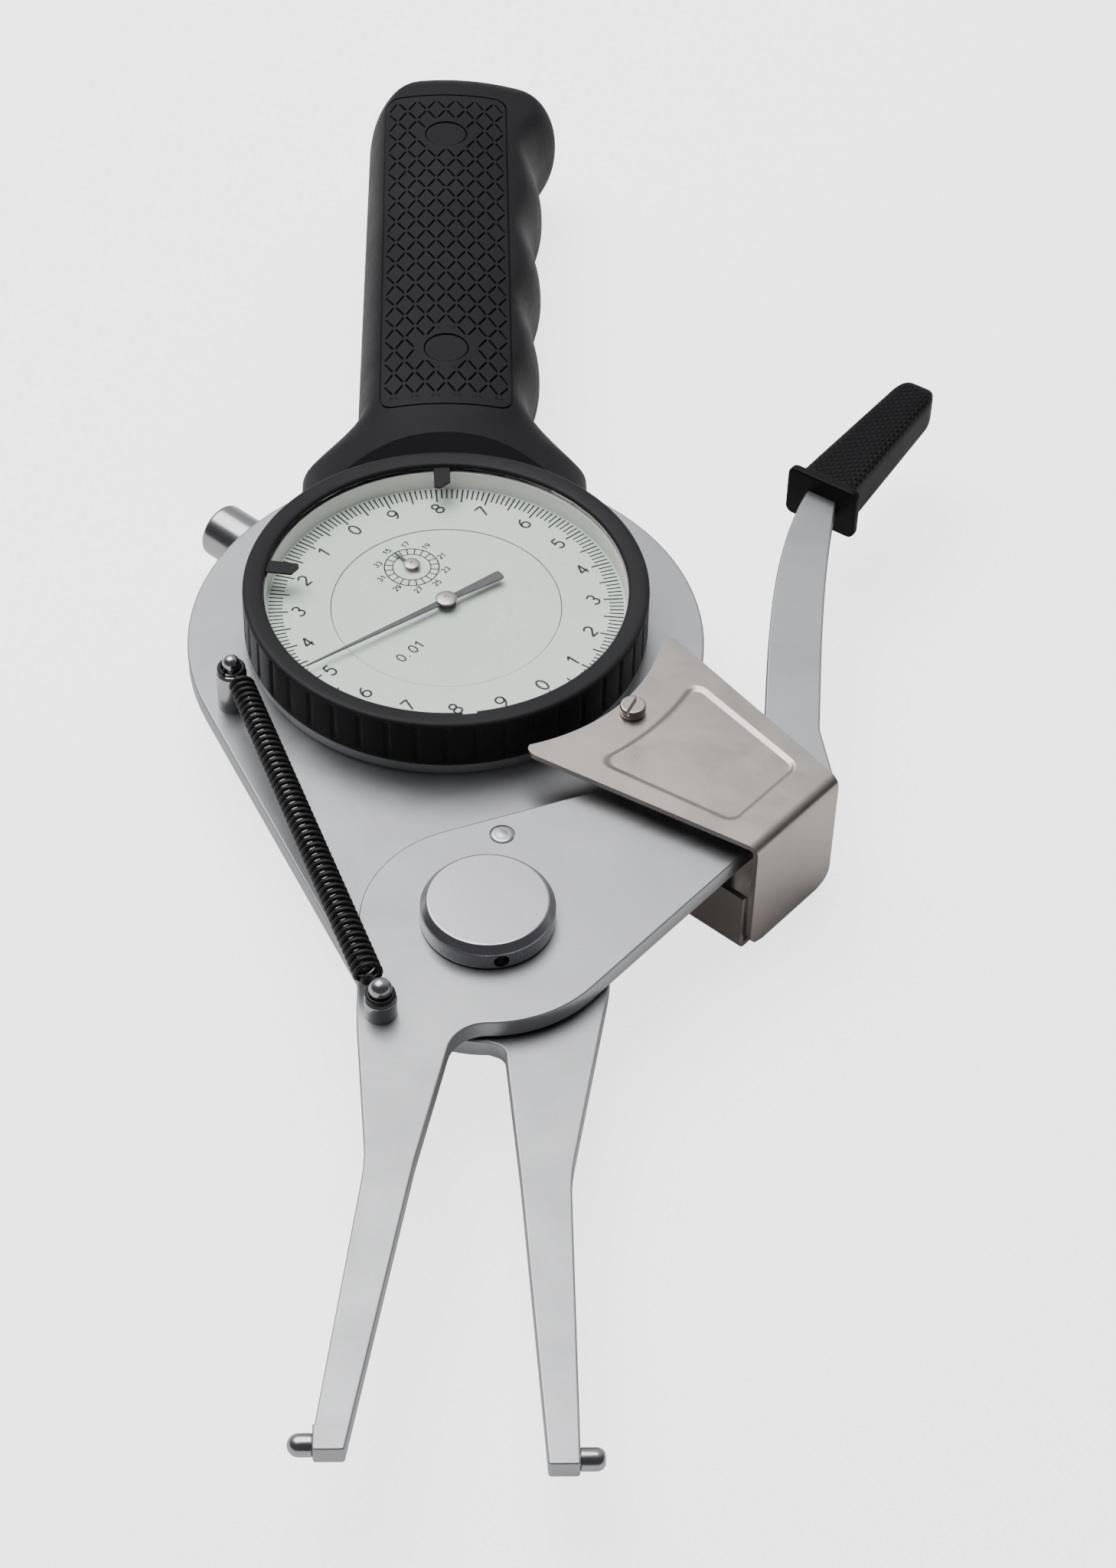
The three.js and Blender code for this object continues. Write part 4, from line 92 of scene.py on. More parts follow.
# Indicator
INDICATOR_AXIS = RAD(138)
COVER_AXIS = INDICATOR_AXIS - PI
SPINDLE_Z = 6.5
DIAL_TOP = 18.5
TICK_RADIUS = 24.4
CRYSTAL_BOTTOM, CRYSTAL_TOP = 21.4, 22.0
ARBOR_DISTANCE = 9.3
ARBOR_SPREAD = RAD(16.9)
SUB_DIAL_ANGLE = INDICATOR_AXIS - ARBOR_SPREAD
SUB_DIAL = ARBOR_DISTANCE * np.array([math.cos(SUB_DIAL_ANGLE), math.sin(SUB_DIAL_ANGLE)])
ZERO_ANGLE = RAD(129.43)

# Cover, posts and spring
COVER_TOP = 20.0
COVER_END = 61.3
FLAP_END, FLAP_ROUND = 0.9, 2.6
SHEET = 0.8
COVER_POST_AT = 33.2
SPRING_Z = 20.05
UPPER_POST = np.array([-28.8, -13.8])
LOWER_POST = PIVOT + (-13.3, -15.4)

# Handle
HANDLE_FAR = 122.5
HANDLE_SPLIT = 12.15
HANDLE_TOP = 23.6
PLUG_PLACES = {"upper": 104.3, "lower": 50.5}
PANEL_HALF = 9.7
PANEL_NEAR, PANEL_FAR = 37.4, 115.0
PANEL_ROUND = 2.2
DIAMOND = np.array([3.05, 5.25])
DIAMOND_START = 108.3

# Fine relief
RELIEF = 0.25
LATHE_FINENESS = 6000.0
STUD_PITCH = 1.25


# Outlines

def polar(radius, angle, centre=(0.0, 0.0)):
    """The point centre + radius (cos a, sin a)."""
    return np.array([centre[0] + radius * math.cos(angle), centre[1] + radius * math.sin(angle)])


def arc(centre, radius, start, stop, step=RAD(4)):
    """Points centre + radius (cos a, sin a) for a from start to stop, both ends included."""
    a = np.linspace(start, stop, max(2, math.ceil(abs(stop - start) / step)) + 1)
    return np.column_stack([centre[0] + radius * np.cos(a), centre[1] + radius * np.sin(a)])


def circle(radius, centre=(0.0, 0.0), count=48):
    """Points centre + radius (cos a, sin a) for count even steps of a."""
    a = np.arange(count) * 2 * PI / count
    return np.column_stack([centre[0] + radius * np.cos(a), centre[1] + radius * np.sin(a)])


def rounded(corners):
    """An outline whose corners (x, y, radius) become arcs that touch both sides."""
    spots = np.array([corner[:2] for corner in corners], float)
    outline = []
    for i, corner in enumerate(corners):
        back, ahead = spots[i - 1] - spots[i], spots[(i + 1) % len(spots)] - spots[i]
        reach_back, reach_ahead = np.linalg.norm(back), np.linalg.norm(ahead)
        back, ahead = back / reach_back, ahead / reach_ahead
        middle = back + ahead
        if len(corner) < 3 or np.linalg.norm(middle) < 1e-6:
            outline.append(spots[i][None])
            continue
        half = math.acos(np.clip(back @ ahead, -1, 1)) / 2
        reach = min(corner[2] / math.tan(half), reach_back / 2, reach_ahead / 2)
        size = reach * math.tan(half)
        centre = spots[i] + middle / np.linalg.norm(middle) * size / math.sin(half)
        begin = math.atan2(*(spots[i] + back * reach - centre)[::-1])
        turn = -np.sign(back[0] * ahead[1] - back[1] * ahead[0])
        outline.append(arc(centre, size, begin, begin + turn * (PI - 2 * half)))
    outline = np.vstack(outline)
    apart = np.linalg.norm(outline - np.roll(outline, 1, 0), axis=1) > 1e-4
    return outline[apart]


def oriented(loop, sense):
    """The loop in the order whose area sum x dy - y dx has the sign of sense."""
    x, y = loop.T
    area = np.sum(x * np.roll(y, -1) - y * np.roll(x, -1))
    return loop if area * sense > 0 else loop[::-1]


def inwards(loop):
    """Steps to the left of a loop at its points: (n1 + n2) / (1 + n1.n2) of its edges' normals."""
    ahead = np.roll(loop, -1, 0) - loop
    ahead /= np.linalg.norm(ahead, axis=1)[:, None]
    total = ahead + np.roll(ahead, 1, 0)
    left = np.column_stack([-total[:, 1], total[:, 0]])
    return left * (2 / np.maximum((total ** 2).sum(1), 0.8))[:, None]


# Parts: arrays of points with lists of face arrays

def grid_faces(rows, columns, around=False, closed=False):
    """Quads (i, j), (i, j+1), (i+1, j+1), (i+1, j) of a grid, joined round where asked."""
    i = np.arange(rows if closed else rows - 1)[:, None]
    j = np.arange(columns if around else columns - 1)[None]
    below, beside = (i + 1) % rows, (j + 1) % columns
    quads = np.stack([i * columns + j, i * columns + beside,
                      below * columns + beside, below * columns + j], -1)
    return quads.reshape(-1, 4)


def together(*parts):
    """Several parts as one."""
    points, faces, start = [], [], 0
    for spots, groups in parts:
        points.append(spots)
        faces += [group + start for group in groups]
        start += len(spots)
    return np.vstack(points), faces


def plate(outline, bottom, top, edge=PLATE_EDGE, holes=(), steps=3):
    """A flat plate whose loops move inwards by e (1 - sin t) while they rise by e (1 - cos t)."""
    t = np.linspace(0, PI / 2, steps + 1)
    inset, rise = edge * (1 - np.sin(t)), edge * (1 - np.cos(t))
    insets = np.concatenate([[1.6 * edge], inset, inset[::-1], [1.6 * edge]])
    levels = np.concatenate([[bottom], bottom + rise, top - rise[::-1], [top]])
    loops = [oriented(outline, 1)] + [oriented(hole, -1) for hole in holes]
    points, faces, low, high, start = [], [], [], [], 0
    for loop in loops:
        rings = loop[None] + inwards(loop)[None] * insets[:, None, None]
        z = np.broadcast_to(levels[:, None, None], (len(levels), len(loop), 1))
        points.append(np.concatenate([rings, z], 2).reshape(-1, 3))
        faces.append(grid_faces(len(levels), len(loop), around=True) + start)
        low.append(np.arange(len(loop)) + start)
        start += len(levels) * len(loop)
        high.append(np.arange(len(loop)) + start - len(loop))
    points = np.vstack(points)
    rims = [[Vector(p) for p in points[ring]] for ring in high]
    triangles = np.array(tessellate_polygon(rims))
    faces += [np.concatenate(high)[triangles], np.concatenate(low)[triangles[:, ::-1]]]
    return points, faces


def softened(profile, radius=0.2, steps=4, closed=False):
    """Each corner B becomes (1-t)^2 A + 2t(1-t) B + t^2 C, with A and C up to radius from B."""
    spots = np.array(profile, float)
    t = np.linspace(0, 1, steps + 1)[:, None]
    path = []
    for i, spot in enumerate(spots):
        if not closed and i in (0, len(spots) - 1):
            path.append(spot[None])
            continue
        before, after = spots[i - 1], spots[(i + 1) % len(spots)]
        ways = [(before - spot), (after - spot)]
        spans = [np.linalg.norm(way) for way in ways]
        near = [spot + way / span * min(radius, 0.3 * span) for way, span in zip(ways, spans)]
        hold = [spot + way / span * min(1.5 * radius, 0.45 * span)
                for way, span in zip(ways, spans)]
        curve = (1 - t) ** 2 * near[0] + 2 * t * (1 - t) * spot + t ** 2 * near[1]
        path += [hold[0][None], curve, hold[1][None]]
    return np.vstack(path)


def turned(profile, segments=96, closed=None):
    """A profile of (radius, z) carried round Z: x = r cos a, y = r sin a."""
    profile = np.asarray(profile, float)
    a = np.arange(segments) * 2 * PI / segments
    points = np.stack([np.outer(profile[:, 0], np.cos(a)), np.outer(profile[:, 0], np.sin(a)),
                       np.repeat(profile[:, 1:2], segments, 1)], -1)
    ring = profile[0, 0] > 0 if closed is None else closed
    return points.reshape(-1, 3), [grid_faces(len(profile), segments, around=True, closed=ring)]


def lathed(profile, radius=0.2, segments=64):
    """A turned piece with softened corners; a profile that starts off the axis is a ring."""
    return turned(softened(profile, radius, closed=profile[0][0] > 0), segments)


def laid(part, angle, at):
    """A part made along +Z laid level along angle: (x, y, z) becomes (z, y, -x), then turns."""
    x, y, z = part[0].T
    c, s = math.cos(angle), math.sin(angle)
    return np.column_stack([c * z - s * y, s * z + c * y, -x]) + np.array(at), part[1]


def spun(part, angle, at=(0.0, 0.0, 0.0)):
    """A part turned about Z by angle, then moved."""
    x, y, z = part[0].T
    c, s = math.cos(angle), math.sin(angle)
    return np.column_stack([c * x - s * y, s * x + c * y, z]) + np.array(at), part[1]


def thick(grid, thickness):
    """A sheet from a grid P and P - thickness * n, with n = dP/du x dP/dv, closed along its rim."""
    rows, columns = grid.shape[:2]
    normal = np.cross(np.gradient(grid, axis=0), np.gradient(grid, axis=1))
    normal /= np.maximum(np.linalg.norm(normal, axis=2), 1e-9)[..., None]
    points = np.concatenate([grid.reshape(-1, 3), (grid - thickness * normal).reshape(-1, 3)])
    cells = grid_faces(rows, columns)
    count = rows * columns
    index = np.arange(count).reshape(rows, columns)
    rim = np.concatenate([index[0], index[1:, -1], index[-1, -2::-1], index[-2:0:-1, 0]])
    after = np.roll(rim, -1)
    return points, [cells, cells[:, ::-1] + count,
                    np.column_stack([rim, after, after + count, rim + count])]


def smooth(low, high, value):
    """Rises from 0 at low to 1 at high as 3t^2 - 2t^3."""
    t = np.clip((value - low) / (high - low), 0, 1)
    return t * t * (3 - 2 * t)


# Blender objects

def bare_object(name, part):
    """A mesh object of a part, in metres, with its doubles merged and its faces outwards."""
    points, faces = part
    mesh = bpy.data.meshes.new(name)
    mesh.from_pydata((points * MM).tolist(), [], [f for group in faces for f in group.tolist()])
    shape = bmesh.new()
    shape.from_mesh(mesh)
    bmesh.ops.remove_doubles(shape, verts=shape.verts, dist=1e-6)
    bmesh.ops.recalc_face_normals(shape, faces=shape.faces)
    shape.to_mesh(mesh)
    shape.free()
    made = bpy.data.objects.new(name, mesh)
    bpy.context.scene.collection.objects.link(made)
    return made


def carved(made, *cutters):
    """Takes closed parts out of a piece."""
    for part in cutters:
        tool = bare_object("cutter", part)
        cut = made.modifiers.new("cut", "BOOLEAN")
        cut.operation, cut.solver, cut.object = "DIFFERENCE", "EXACT", tool
        result = made.evaluated_get(bpy.context.evaluated_depsgraph_get())
        made.data = bpy.data.meshes.new_from_object(result)
        made.modifiers.clear()
        bpy.data.objects.remove(tool)


def add(name, part, finish, body, slot, nodes=(), cutters=(), sharp=35, rides=True):
    """A finished piece: its mesh, its shading, its material, and the body it rides on."""
    made = bare_object(name, part)
    carved(made, *cutters)
    made.data.shade_smooth()
    made.data.set_sharp_from_angle(angle=RAD(sharp))
    made.data.materials.clear()
    made.data.materials.append(finish)
    if rides:
        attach(made, body)
    if nodes:
        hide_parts(*nodes)
    return made


def dress(node, part, finish=None, **more):
    """A finished piece that stands for one CAD node, on its body and with its slot's finish unless
    another is given.
    """
    slot = SLOT_OF[node]
    return add(node + "_finished", part, finish or FINISHES[slot], BODY_OF[node], slot, [node],
               **more)


def refine(node):
    """A merged, smooth-shaded copy of a CAD node whose shape is already right."""
    made = frame["nodes"][node].copy()
    made.data = made.data.copy()
    made.name = node + "_refined"
    for key in [key for key in made.keys() if key.startswith("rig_")]:
        del made[key]
    made.parent = None
    bpy.context.scene.collection.objects.link(made)
    shape = bmesh.new()
    shape.from_mesh(made.data)
    bmesh.ops.remove_doubles(shape, verts=shape.verts, dist=1e-6)
    shape.to_mesh(made.data)
    shape.free()
    made.data.shade_smooth()
    made.data.set_sharp_from_angle(angle=RAD(35))
    made.data.materials.clear()
    made.data.materials.append(FINISHES[SLOT_OF[node]])
    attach(made, BODY_OF[node])
    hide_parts(node)
    return made


# Materials

def feed(tree, made, inputs):
    """Sets each input to its value, or links it to the other node's output."""
    for key, value in inputs:
        if isinstance(value, bpy.types.NodeSocket):
            tree.links.new(value, made.inputs[key])
        else:
            made.inputs[key].default_value = value


def node(tree, kind, inputs=None, **settings):
    """Adds a node; each input is a value or another node's output."""
    made = tree.nodes.new(kind)
    for key, value in settings.items():
        setattr(made, key, value)
    feed(tree, made, (inputs or {}).items())
    return made


def calc(tree, operation, *values):
    """A Math node's result."""
    return node(tree, "ShaderNodeMath", dict(enumerate(values)), operation=operation).outputs[0]


def ramp(tree, value, low, high, start=0.0, stop=1.0, **settings):
    """A value that runs from start to stop while the given one runs from low to high."""
    return node(tree, "ShaderNodeMapRange", {"Value": value, "From Min": low, "From Max": high,
                                             "To Min": start, "To Max": stop}, **settings).outputs[0]


def noise(tree, place, scale, detail, roughness, distortion=0.0):
    """A noise value."""
    return node(tree, "ShaderNodeTexNoise", {"Vector": place, "Scale": scale, "Detail": detail,
                                             "Roughness": roughness,
                                             "Distortion": distortion}).outputs[0]


def split(tree, place):
    """The X, Y and Z of a place."""
    return node(tree, "ShaderNodeSeparateXYZ", {0: place}).outputs


def off_axis(tree, place):
    """How far a place lies from the Z axis."""
    flat = node(tree, "ShaderNodeVectorMath", {0: place, 1: (1.0, 1.0, 0.0)}, operation="MULTIPLY")
    return node(tree, "ShaderNodeVectorMath", {0: flat.outputs[0]},
                operation="LENGTH").outputs["Value"]


def group(name, inputs, outputs):
    """An empty node group with named sockets, its tree, its inside inputs and its outputs."""
    tree = bpy.data.node_groups.new(name, "ShaderNodeTree")
    for label, kind in inputs:
        tree.interface.new_socket(label, in_out="INPUT", socket_type=kind)
    for label, kind in outputs:
        tree.interface.new_socket(label, in_out="OUTPUT", socket_type=kind)
    return tree, tree.nodes.new("NodeGroupInput").outputs, tree.nodes.new("NodeGroupOutput").inputs


FLOAT, VECTOR = "NodeSocketFloat", "NodeSocketVector"


def handled_group():
    """Handled surface: slow clouds, smudges of the fingers, and fine grain, each from noise."""
    tree, given, out = group("Handled", [("Place", VECTOR), ("Cloud Scale", FLOAT),
                                         ("Grain Scale", FLOAT)],
                             [("Cloud", FLOAT), ("Smudge", FLOAT), ("Grain", FLOAT)])
    place, smudge_scale = given["Place"], calc(tree, "MULTIPLY", given["Cloud Scale"], 3.7)
    tree.links.new(noise(tree, place, given["Cloud Scale"], 3.0, 0.55), out["Cloud"])
    tree.links.new(noise(tree, place, smudge_scale, 6.0, 0.65, 0.6), out["Smudge"])
    tree.links.new(noise(tree, place, given["Grain Scale"], 2.0, 0.6), out["Grain"])
    return tree


def lathe_group():
    """Lathe lines: noise along the distance from an axis that runs in Z through Place's zero."""
    tree, given, out = group("LatheLines", [("Place", VECTOR), ("Fineness", FLOAT)],
                             [("Line", FLOAT)])
    along = node(tree, "ShaderNodeCombineXYZ", {"X": off_axis(tree, given["Place"])}).outputs[0]
    tree.links.new(noise(tree, along, given["Fineness"], 4.0, 0.7), out["Line"])
    return tree


def lattice_group():
    """Diamond cuts, the mask for painted shade: lines x/a - y/b = n + 1/2 and x/a + y/b = n + 1/2,
    broken where they cross.
    """
    tree, given, out = group("DiamondCuts", [("Place", VECTOR)], [("Cut", FLOAT)])
    axes = split(tree, given["Place"])
    x = calc(tree, "MULTIPLY", axes["X"], 1 / (DIAMOND[0] * MM))
    y = calc(tree, "SUBTRACT", axes["Y"], DIAMOND_START * MM)
    y = calc(tree, "MULTIPLY", y, 1 / (DIAMOND[1] * MM))
    way = []
    for operation in ("SUBTRACT", "ADD"):
        share = calc(tree, "FRACT", calc(tree, operation, x, y))
        way.append(calc(tree, "ABSOLUTE", calc(tree, "SUBTRACT", share, 0.5)))
    cuts = []
    for this, other in (way, way[::-1]):
        line = ramp(tree, this, 0.035, 0.12, 1.0, 0.0, interpolation_type="SMOOTHSTEP")
        broken = ramp(tree, other, 0.07, 0.15, interpolation_type="SMOOTHSTEP")
        cuts.append(calc(tree, "MULTIPLY", line, broken))
    near, far = PANEL_NEAR + 1.6, PANEL_FAR - 2.4
    masks = [ramp(tree, calc(tree, "ABSOLUTE", axes["X"]), 8.2 * MM, 8.5 * MM, 1.0, 0.0),
             ramp(tree, axes["Y"], near * MM, (near + 0.3) * MM),
             ramp(tree, axes["Y"], (far - 0.3) * MM, far * MM, 1.0, 0.0),
             ramp(tree, axes["Z"], 20.5 * MM, 21.0 * MM)]
    for place in PLUG_PLACES.values():
        away = node(tree, "ShaderNodeVectorMath", {0: given["Place"], 1: (0.0, place * MM, 0.0)},
                    operation="SUBTRACT").outputs[0]
        masks.append(ramp(tree, off_axis(tree, away), 4.2 * MM, 4.5 * MM))
    cut = calc(tree, "MAXIMUM", *cuts)
    for mask in masks:
        cut = calc(tree, "MULTIPLY", cut, mask)
    tree.links.new(cut, out["Cut"])
    return tree


def studs_group():
    """Grip studs: the lesser of |sin| along the two slants x + y and x - y, over the pitch."""
    tree, given, out = group("GripStuds", [("Place", VECTOR), ("Pitch", FLOAT)], [("Stud", FLOAT)])
    axes = split(tree, given["Place"])
    waves = []
    for operation in ("ADD", "SUBTRACT"):
        slant = calc(tree, operation, axes["X"], axes["Y"])
        turn = calc(tree, "DIVIDE", slant, given["Pitch"])
        waves.append(calc(tree, "ABSOLUTE", calc(tree, "SINE", calc(tree, "MULTIPLY", turn, PI))))
    tree.links.new(calc(tree, "MINIMUM", *waves), out["Stud"])
    return tree


HANDLED, LATHE = handled_group(), lathe_group()
LATTICE, STUDS = lattice_group(), studs_group()


def blend_colours(tree, factor, first, second):
    """A Mix node's colour."""
    made = tree.nodes.new("ShaderNodeMix")
    made.data_type = "RGBA"
    feed(tree, made, ((0, factor), (6, first), (7, second)))
    return made.outputs[2]


def blank(name):
    """An empty material, its tree and its Object coordinates."""
    made = bpy.data.materials.new(name)
    made.use_nodes = True
    made.node_tree.nodes.clear()
    place = node(made.node_tree, "ShaderNodeTexCoord").outputs["Object"]
    return made, made.node_tree, place


def use(tree, which, inputs):
    """One of the shared groups placed in a material."""
    made = tree.nodes.new("ShaderNodeGroup")
    made.node_tree = which
    feed(tree, made, inputs.items())
    return made


def painted_groove_shade(tree, place, colour):
    """The colour with painted shade: darkened towards near black in the diamond cuts of the handle's
    panel.
    """
    cut = use(tree, LATTICE, {"Place": place}).outputs["Cut"]
    return blend_colours(tree, calc(tree, "MULTIPLY", cut, 0.75), colour, (0.004, 0.004, 0.005, 1.0))


def studded(tree, place, height):
    """The height with studs added on the grip's upper face, past its collar."""
    level = node(tree, "ShaderNodeMapping", {"Vector": place,
                                             "Rotation": (0.0, 0.0, -GRIP_DIRECTION)}).outputs[0]
    stud = use(tree, STUDS, {"Place": level, "Pitch": STUD_PITCH * MM}).outputs["Stud"]
    start = float(LEVER_FOOT @ (math.cos(GRIP_DIRECTION), math.sin(GRIP_DIRECTION))) + 1.9
    upper = ramp(tree, split(tree, place)["Z"], 17.9 * MM, 18.2 * MM)
    past = ramp(tree, split(tree, level)["X"], start * MM, (start + 0.3) * MM)
    return calc(tree, "ADD", height,
                calc(tree, "MULTIPLY", stud, calc(tree, "MULTIPLY", upper, past)))


def surface(name, dark, light, rough, metallic=1.0, cloud=35.0, grain=2500.0, bump=0.02,
            lathe=None, lines=0.0, gloss=0.5, extra=None):
    """A finish whose colour runs from dark to light in clouds, and its roughness over rough."""
    made, tree, place = blank(name)
    wear = use(tree, HANDLED, {"Place": place, "Cloud Scale": cloud, "Grain Scale": grain})
    tone = ramp(tree, wear.outputs["Cloud"], 0.3, 0.7)
    colour = blend_colours(tree, tone, (*dark, 1.0), (*light, 1.0))
    roughness = ramp(tree, wear.outputs["Smudge"], 0.25, 0.75, *rough)
    height = calc(tree, "MULTIPLY", wear.outputs["Grain"], bump)
    if lathe is not None:
        zero = (-lathe[0] * MM, -lathe[1] * MM, 0.0)
        centred = node(tree, "ShaderNodeMapping", {"Vector": place, "Location": zero}).outputs[0]
        line = use(tree, LATHE, {"Place": centred, "Fineness": LATHE_FINENESS}).outputs["Line"]
        height = calc(tree, "ADD", height, calc(tree, "MULTIPLY", line, lines))
    # The lattice extra paints shade into the diamond cuts as a darker colour.
    if extra == "lattice":
        colour = painted_groove_shade(tree, place, colour)
    if extra == "studs":
        height = studded(tree, place, height)
    relief = node(tree, "ShaderNodeBump", {"Height": height, "Distance": RELIEF * MM,
                                           "Strength": 0.8})
    shader = node(tree, "ShaderNodeBsdfPrincipled", {"Base Color": colour, "Metallic": metallic,
                                                     "Roughness": roughness,
                                                     "Specular IOR Level": gloss,
                                                     "Normal": relief.outputs[0]})
    out = node(tree, "ShaderNodeOutputMaterial")
    tree.links.new(shader.outputs[0], out.inputs[0])
    return made


def glass():
    """Clear glass: the Principled surface for the eye, and a clear path for lamplight."""
    made, tree, place = blank("crystal_glass")
    wear = use(tree, HANDLED, {"Place": place, "Cloud Scale": 60.0, "Grain Scale": 900.0})
    roughness = ramp(tree, wear.outputs["Smudge"], 0.0, 1.0, 0.0, 0.02)
    shader = node(tree, "ShaderNodeBsdfPrincipled", {"Base Color": (1.0, 1.0, 1.0, 1.0),
                                                     "Roughness": roughness, "IOR": 1.18,
                                                     "Transmission Weight": 1.0})
    clear = node(tree, "ShaderNodeBsdfTransparent")
    path = node(tree, "ShaderNodeLightPath")
    mixed = node(tree, "ShaderNodeMixShader", {0: path.outputs["Is Shadow Ray"],
                                               1: shader.outputs[0], 2: clear.outputs[0]})
    out = node(tree, "ShaderNodeOutputMaterial")
    tree.links.new(mixed.outputs[0], out.inputs[0])
    return made


FINISHES = {
    "satin_chrome": surface("satin_chrome", (0.36, 0.365, 0.375), (0.43, 0.435, 0.445), (0.36, 0.5),
                            cloud=22.0),
    "bright_steel": surface("bright_steel", (0.36, 0.36, 0.37), (0.46, 0.46, 0.47), (0.18, 0.3),
                            cloud=60.0, bump=0.01),
    "nickel": surface("nickel", (0.36, 0.325, 0.30), (0.45, 0.41, 0.385), (0.24, 0.38), cloud=30.0),
    "cast_case": surface("cast_case", (0.4, 0.41, 0.43), (0.5, 0.51, 0.53), (0.35, 0.5), bump=0.06),
    "brass": surface("brass", (0.55, 0.4, 0.16), (0.74, 0.58, 0.3), (0.25, 0.42)),
    "black_plastic": surface("black_plastic", (0.015, 0.015, 0.0165), (0.02, 0.02, 0.022), (0.44, 0.58),
                             metallic=0.0, cloud=40.0, grain=1800.0, bump=0.12, gloss=0.1),
    "black_bezel": surface("black_bezel", (0.020, 0.020, 0.0215), (0.026, 0.026, 0.028), (0.36, 0.5),
                           metallic=0.0, bump=0.03, gloss=0.12),
    "black_wire": surface("black_wire", (0.006, 0.006, 0.007), (0.012, 0.012, 0.013), (0.4, 0.55),
                          metallic=0.0, bump=0.03, gloss=0.35),
    "dial_paint": surface("dial_paint", (0.45, 0.52, 0.46), (0.51, 0.58, 0.52), (0.5, 0.62),
                          metallic=0.0, cloud=25.0, bump=0.01),
    "hand_paint": surface("hand_paint", (0.02, 0.021, 0.024), (0.045, 0.046, 0.05), (0.35, 0.5),
                          metallic=0.0),
    "spacer_paint": surface("spacer_paint", (0.55, 0.55, 0.52), (0.66, 0.66, 0.63), (0.45, 0.6),
                            metallic=0.0),
    "glass": glass(),
}
KNOB_FINISH = surface("turned_chrome", (0.41, 0.41, 0.43), (0.45, 0.45, 0.47), (0.25, 0.31),
                      lathe=PIVOT, lines=0.004, bump=0.0)
# The handle's plastic carries painted shade in the diamond cuts of its panel.
HANDLE_FINISH = surface("handle_plastic", (0.015, 0.015, 0.0165), (0.02, 0.02, 0.022), (0.4, 0.54),
                        metallic=0.0, cloud=40.0, grain=1800.0, bump=0.1, gloss=0.1, extra="lattice")
GRIP_FINISH = surface("grip_plastic", (0.007, 0.007, 0.008), (0.012, 0.012, 0.013), (0.42, 0.56),
                      metallic=0.0, cloud=40.0, grain=1800.0, bump=0.1, gloss=0.1, extra="studs")
INK = surface("print_ink", (0.006, 0.0065, 0.008), (0.014, 0.015, 0.017), (0.5, 0.6), metallic=0.0,
              gloss=0.3)


# Jaw plates

def main_outline():
    """Head disc, tang, hub and right leg: arcs about the dial and the pivot joined by lines."""
    half_tang, fillet = 8.0, 3.0
    distance, bearing = np.hypot(*PIVOT), math.atan2(PIVOT[1], PIVOT[0])
    left_normal = bearing - math.acos((HEAD_RADIUS - HUB_RADIUS) / distance)
    tang_foot = math.sqrt(HEAD_RADIUS ** 2 - (half_tang + fillet) ** 2)
    outer = JAW_OPENING / 2 - CONTACT_LENGTH
    x0, y0 = PIVOT
    head = (0.0, 0.0)
    return rounded([
        (outer, y0 - LEG_END, 0.4), (outer, y0 - LEG_KNEE, KNEE_ROUND),
        (20.6, y0 - 7.5, KNEE_ROUND), (20.6 + SHEET, y0 + HUB_RADIUS, KNEE_ROUND),
        (*polar(COVER_POST_AT + 2 + 2 * SHEET, COVER_AXIS), 2.0),
        *arc(head, HEAD_RADIUS, COVER_AXIS + RAD(13), math.atan2(tang_foot, half_tang + fillet)),
        (half_tang, tang_foot + fillet), (half_tang, 116.0, fillet), (-half_tang, 116.0, fillet),
        (-half_tang, tang_foot + fillet),
        *arc(head, HEAD_RADIUS, math.atan2(tang_foot, -half_tang - fillet), left_normal + 2 * PI),
        *arc(PIVOT, HUB_RADIUS, left_normal, -PI / 2),
        (7.2, y0 - 18.4, 3.0), (8.8, y0 - LEG_KNEE, KNEE_ROUND),
        (outer - LEG_TIP_WIDTH, y0 - LEG_END, 0.4),
    ])


def stop_slot():
    """A slot about the pivot for the stop pin: two arcs closed by half circles."""
    reach, start, half = math.hypot(*STOP_PIN), math.atan2(STOP_PIN[1], STOP_PIN[0]), 1.7
    first, last = (polar(reach, a, PIVOT) for a in (start, start + SWING))
    return np.vstack([
        arc(PIVOT, reach + half, start, start + SWING),
        arc(last, half, start + SWING, start + SWING + PI, RAD(15))[1:-1],
        arc(PIVOT, reach - half, start + SWING, start),
        arc(first, half, start + PI, start + 2 * PI, RAD(15))[1:-1],
    ])


def lever_edges(count=40):
    """The spine p(t), of the fourth degree, and p +- n w(t), w going to the tongue's as t^4."""
    chords = np.concatenate([[0], np.cumsum(np.linalg.norm(np.diff(LEVER_SPINE, axis=0), axis=1))])
    share = np.linspace(0, 1, count)
    fits = [np.polyfit(chords / chords[-1], LEVER_SPINE[:, k], 4) for k in (0, 1)]
    p = np.column_stack([np.polyval(fit, share) for fit in fits])
    way = np.column_stack([np.polyval(np.polyder(fit), share) for fit in fits])
    way /= np.linalg.norm(way, axis=1)[:, None]
    half = (LEVER_WIDTH + (TONGUE_WIDTH - LEVER_WIDTH) * share ** 4) / 2
    across = np.column_stack([way[:, 1], -way[:, 0]]) * half[:, None]
    along = np.array([math.cos(GRIP_DIRECTION), math.sin(GRIP_DIRECTION)])
    side = np.array([-along[1], along[0]]) * TONGUE_WIDTH / 2
    end = LEVER_SPINE[-1] + along * TONGUE_LENGTH
    return p - across, p + across, [end - side, end + side]


def nook(low, high, reach, size):
    """A fillet between the line from low to high and the outside of a circle about (0, 0)."""
    way = (high - low) / np.linalg.norm(high - low)
    side = np.array([way[1], -way[0]])
    base = low + side * size
    level = base @ way
    centre = base + way * (-level - math.sqrt(level ** 2 - base @ base + (reach + size) ** 2))
    bearing = math.atan2(centre[1], centre[0])
    begin = math.atan2(-side[1], -side[0])
    return arc(centre, size, begin, bearing + PI, RAD(8)), bearing


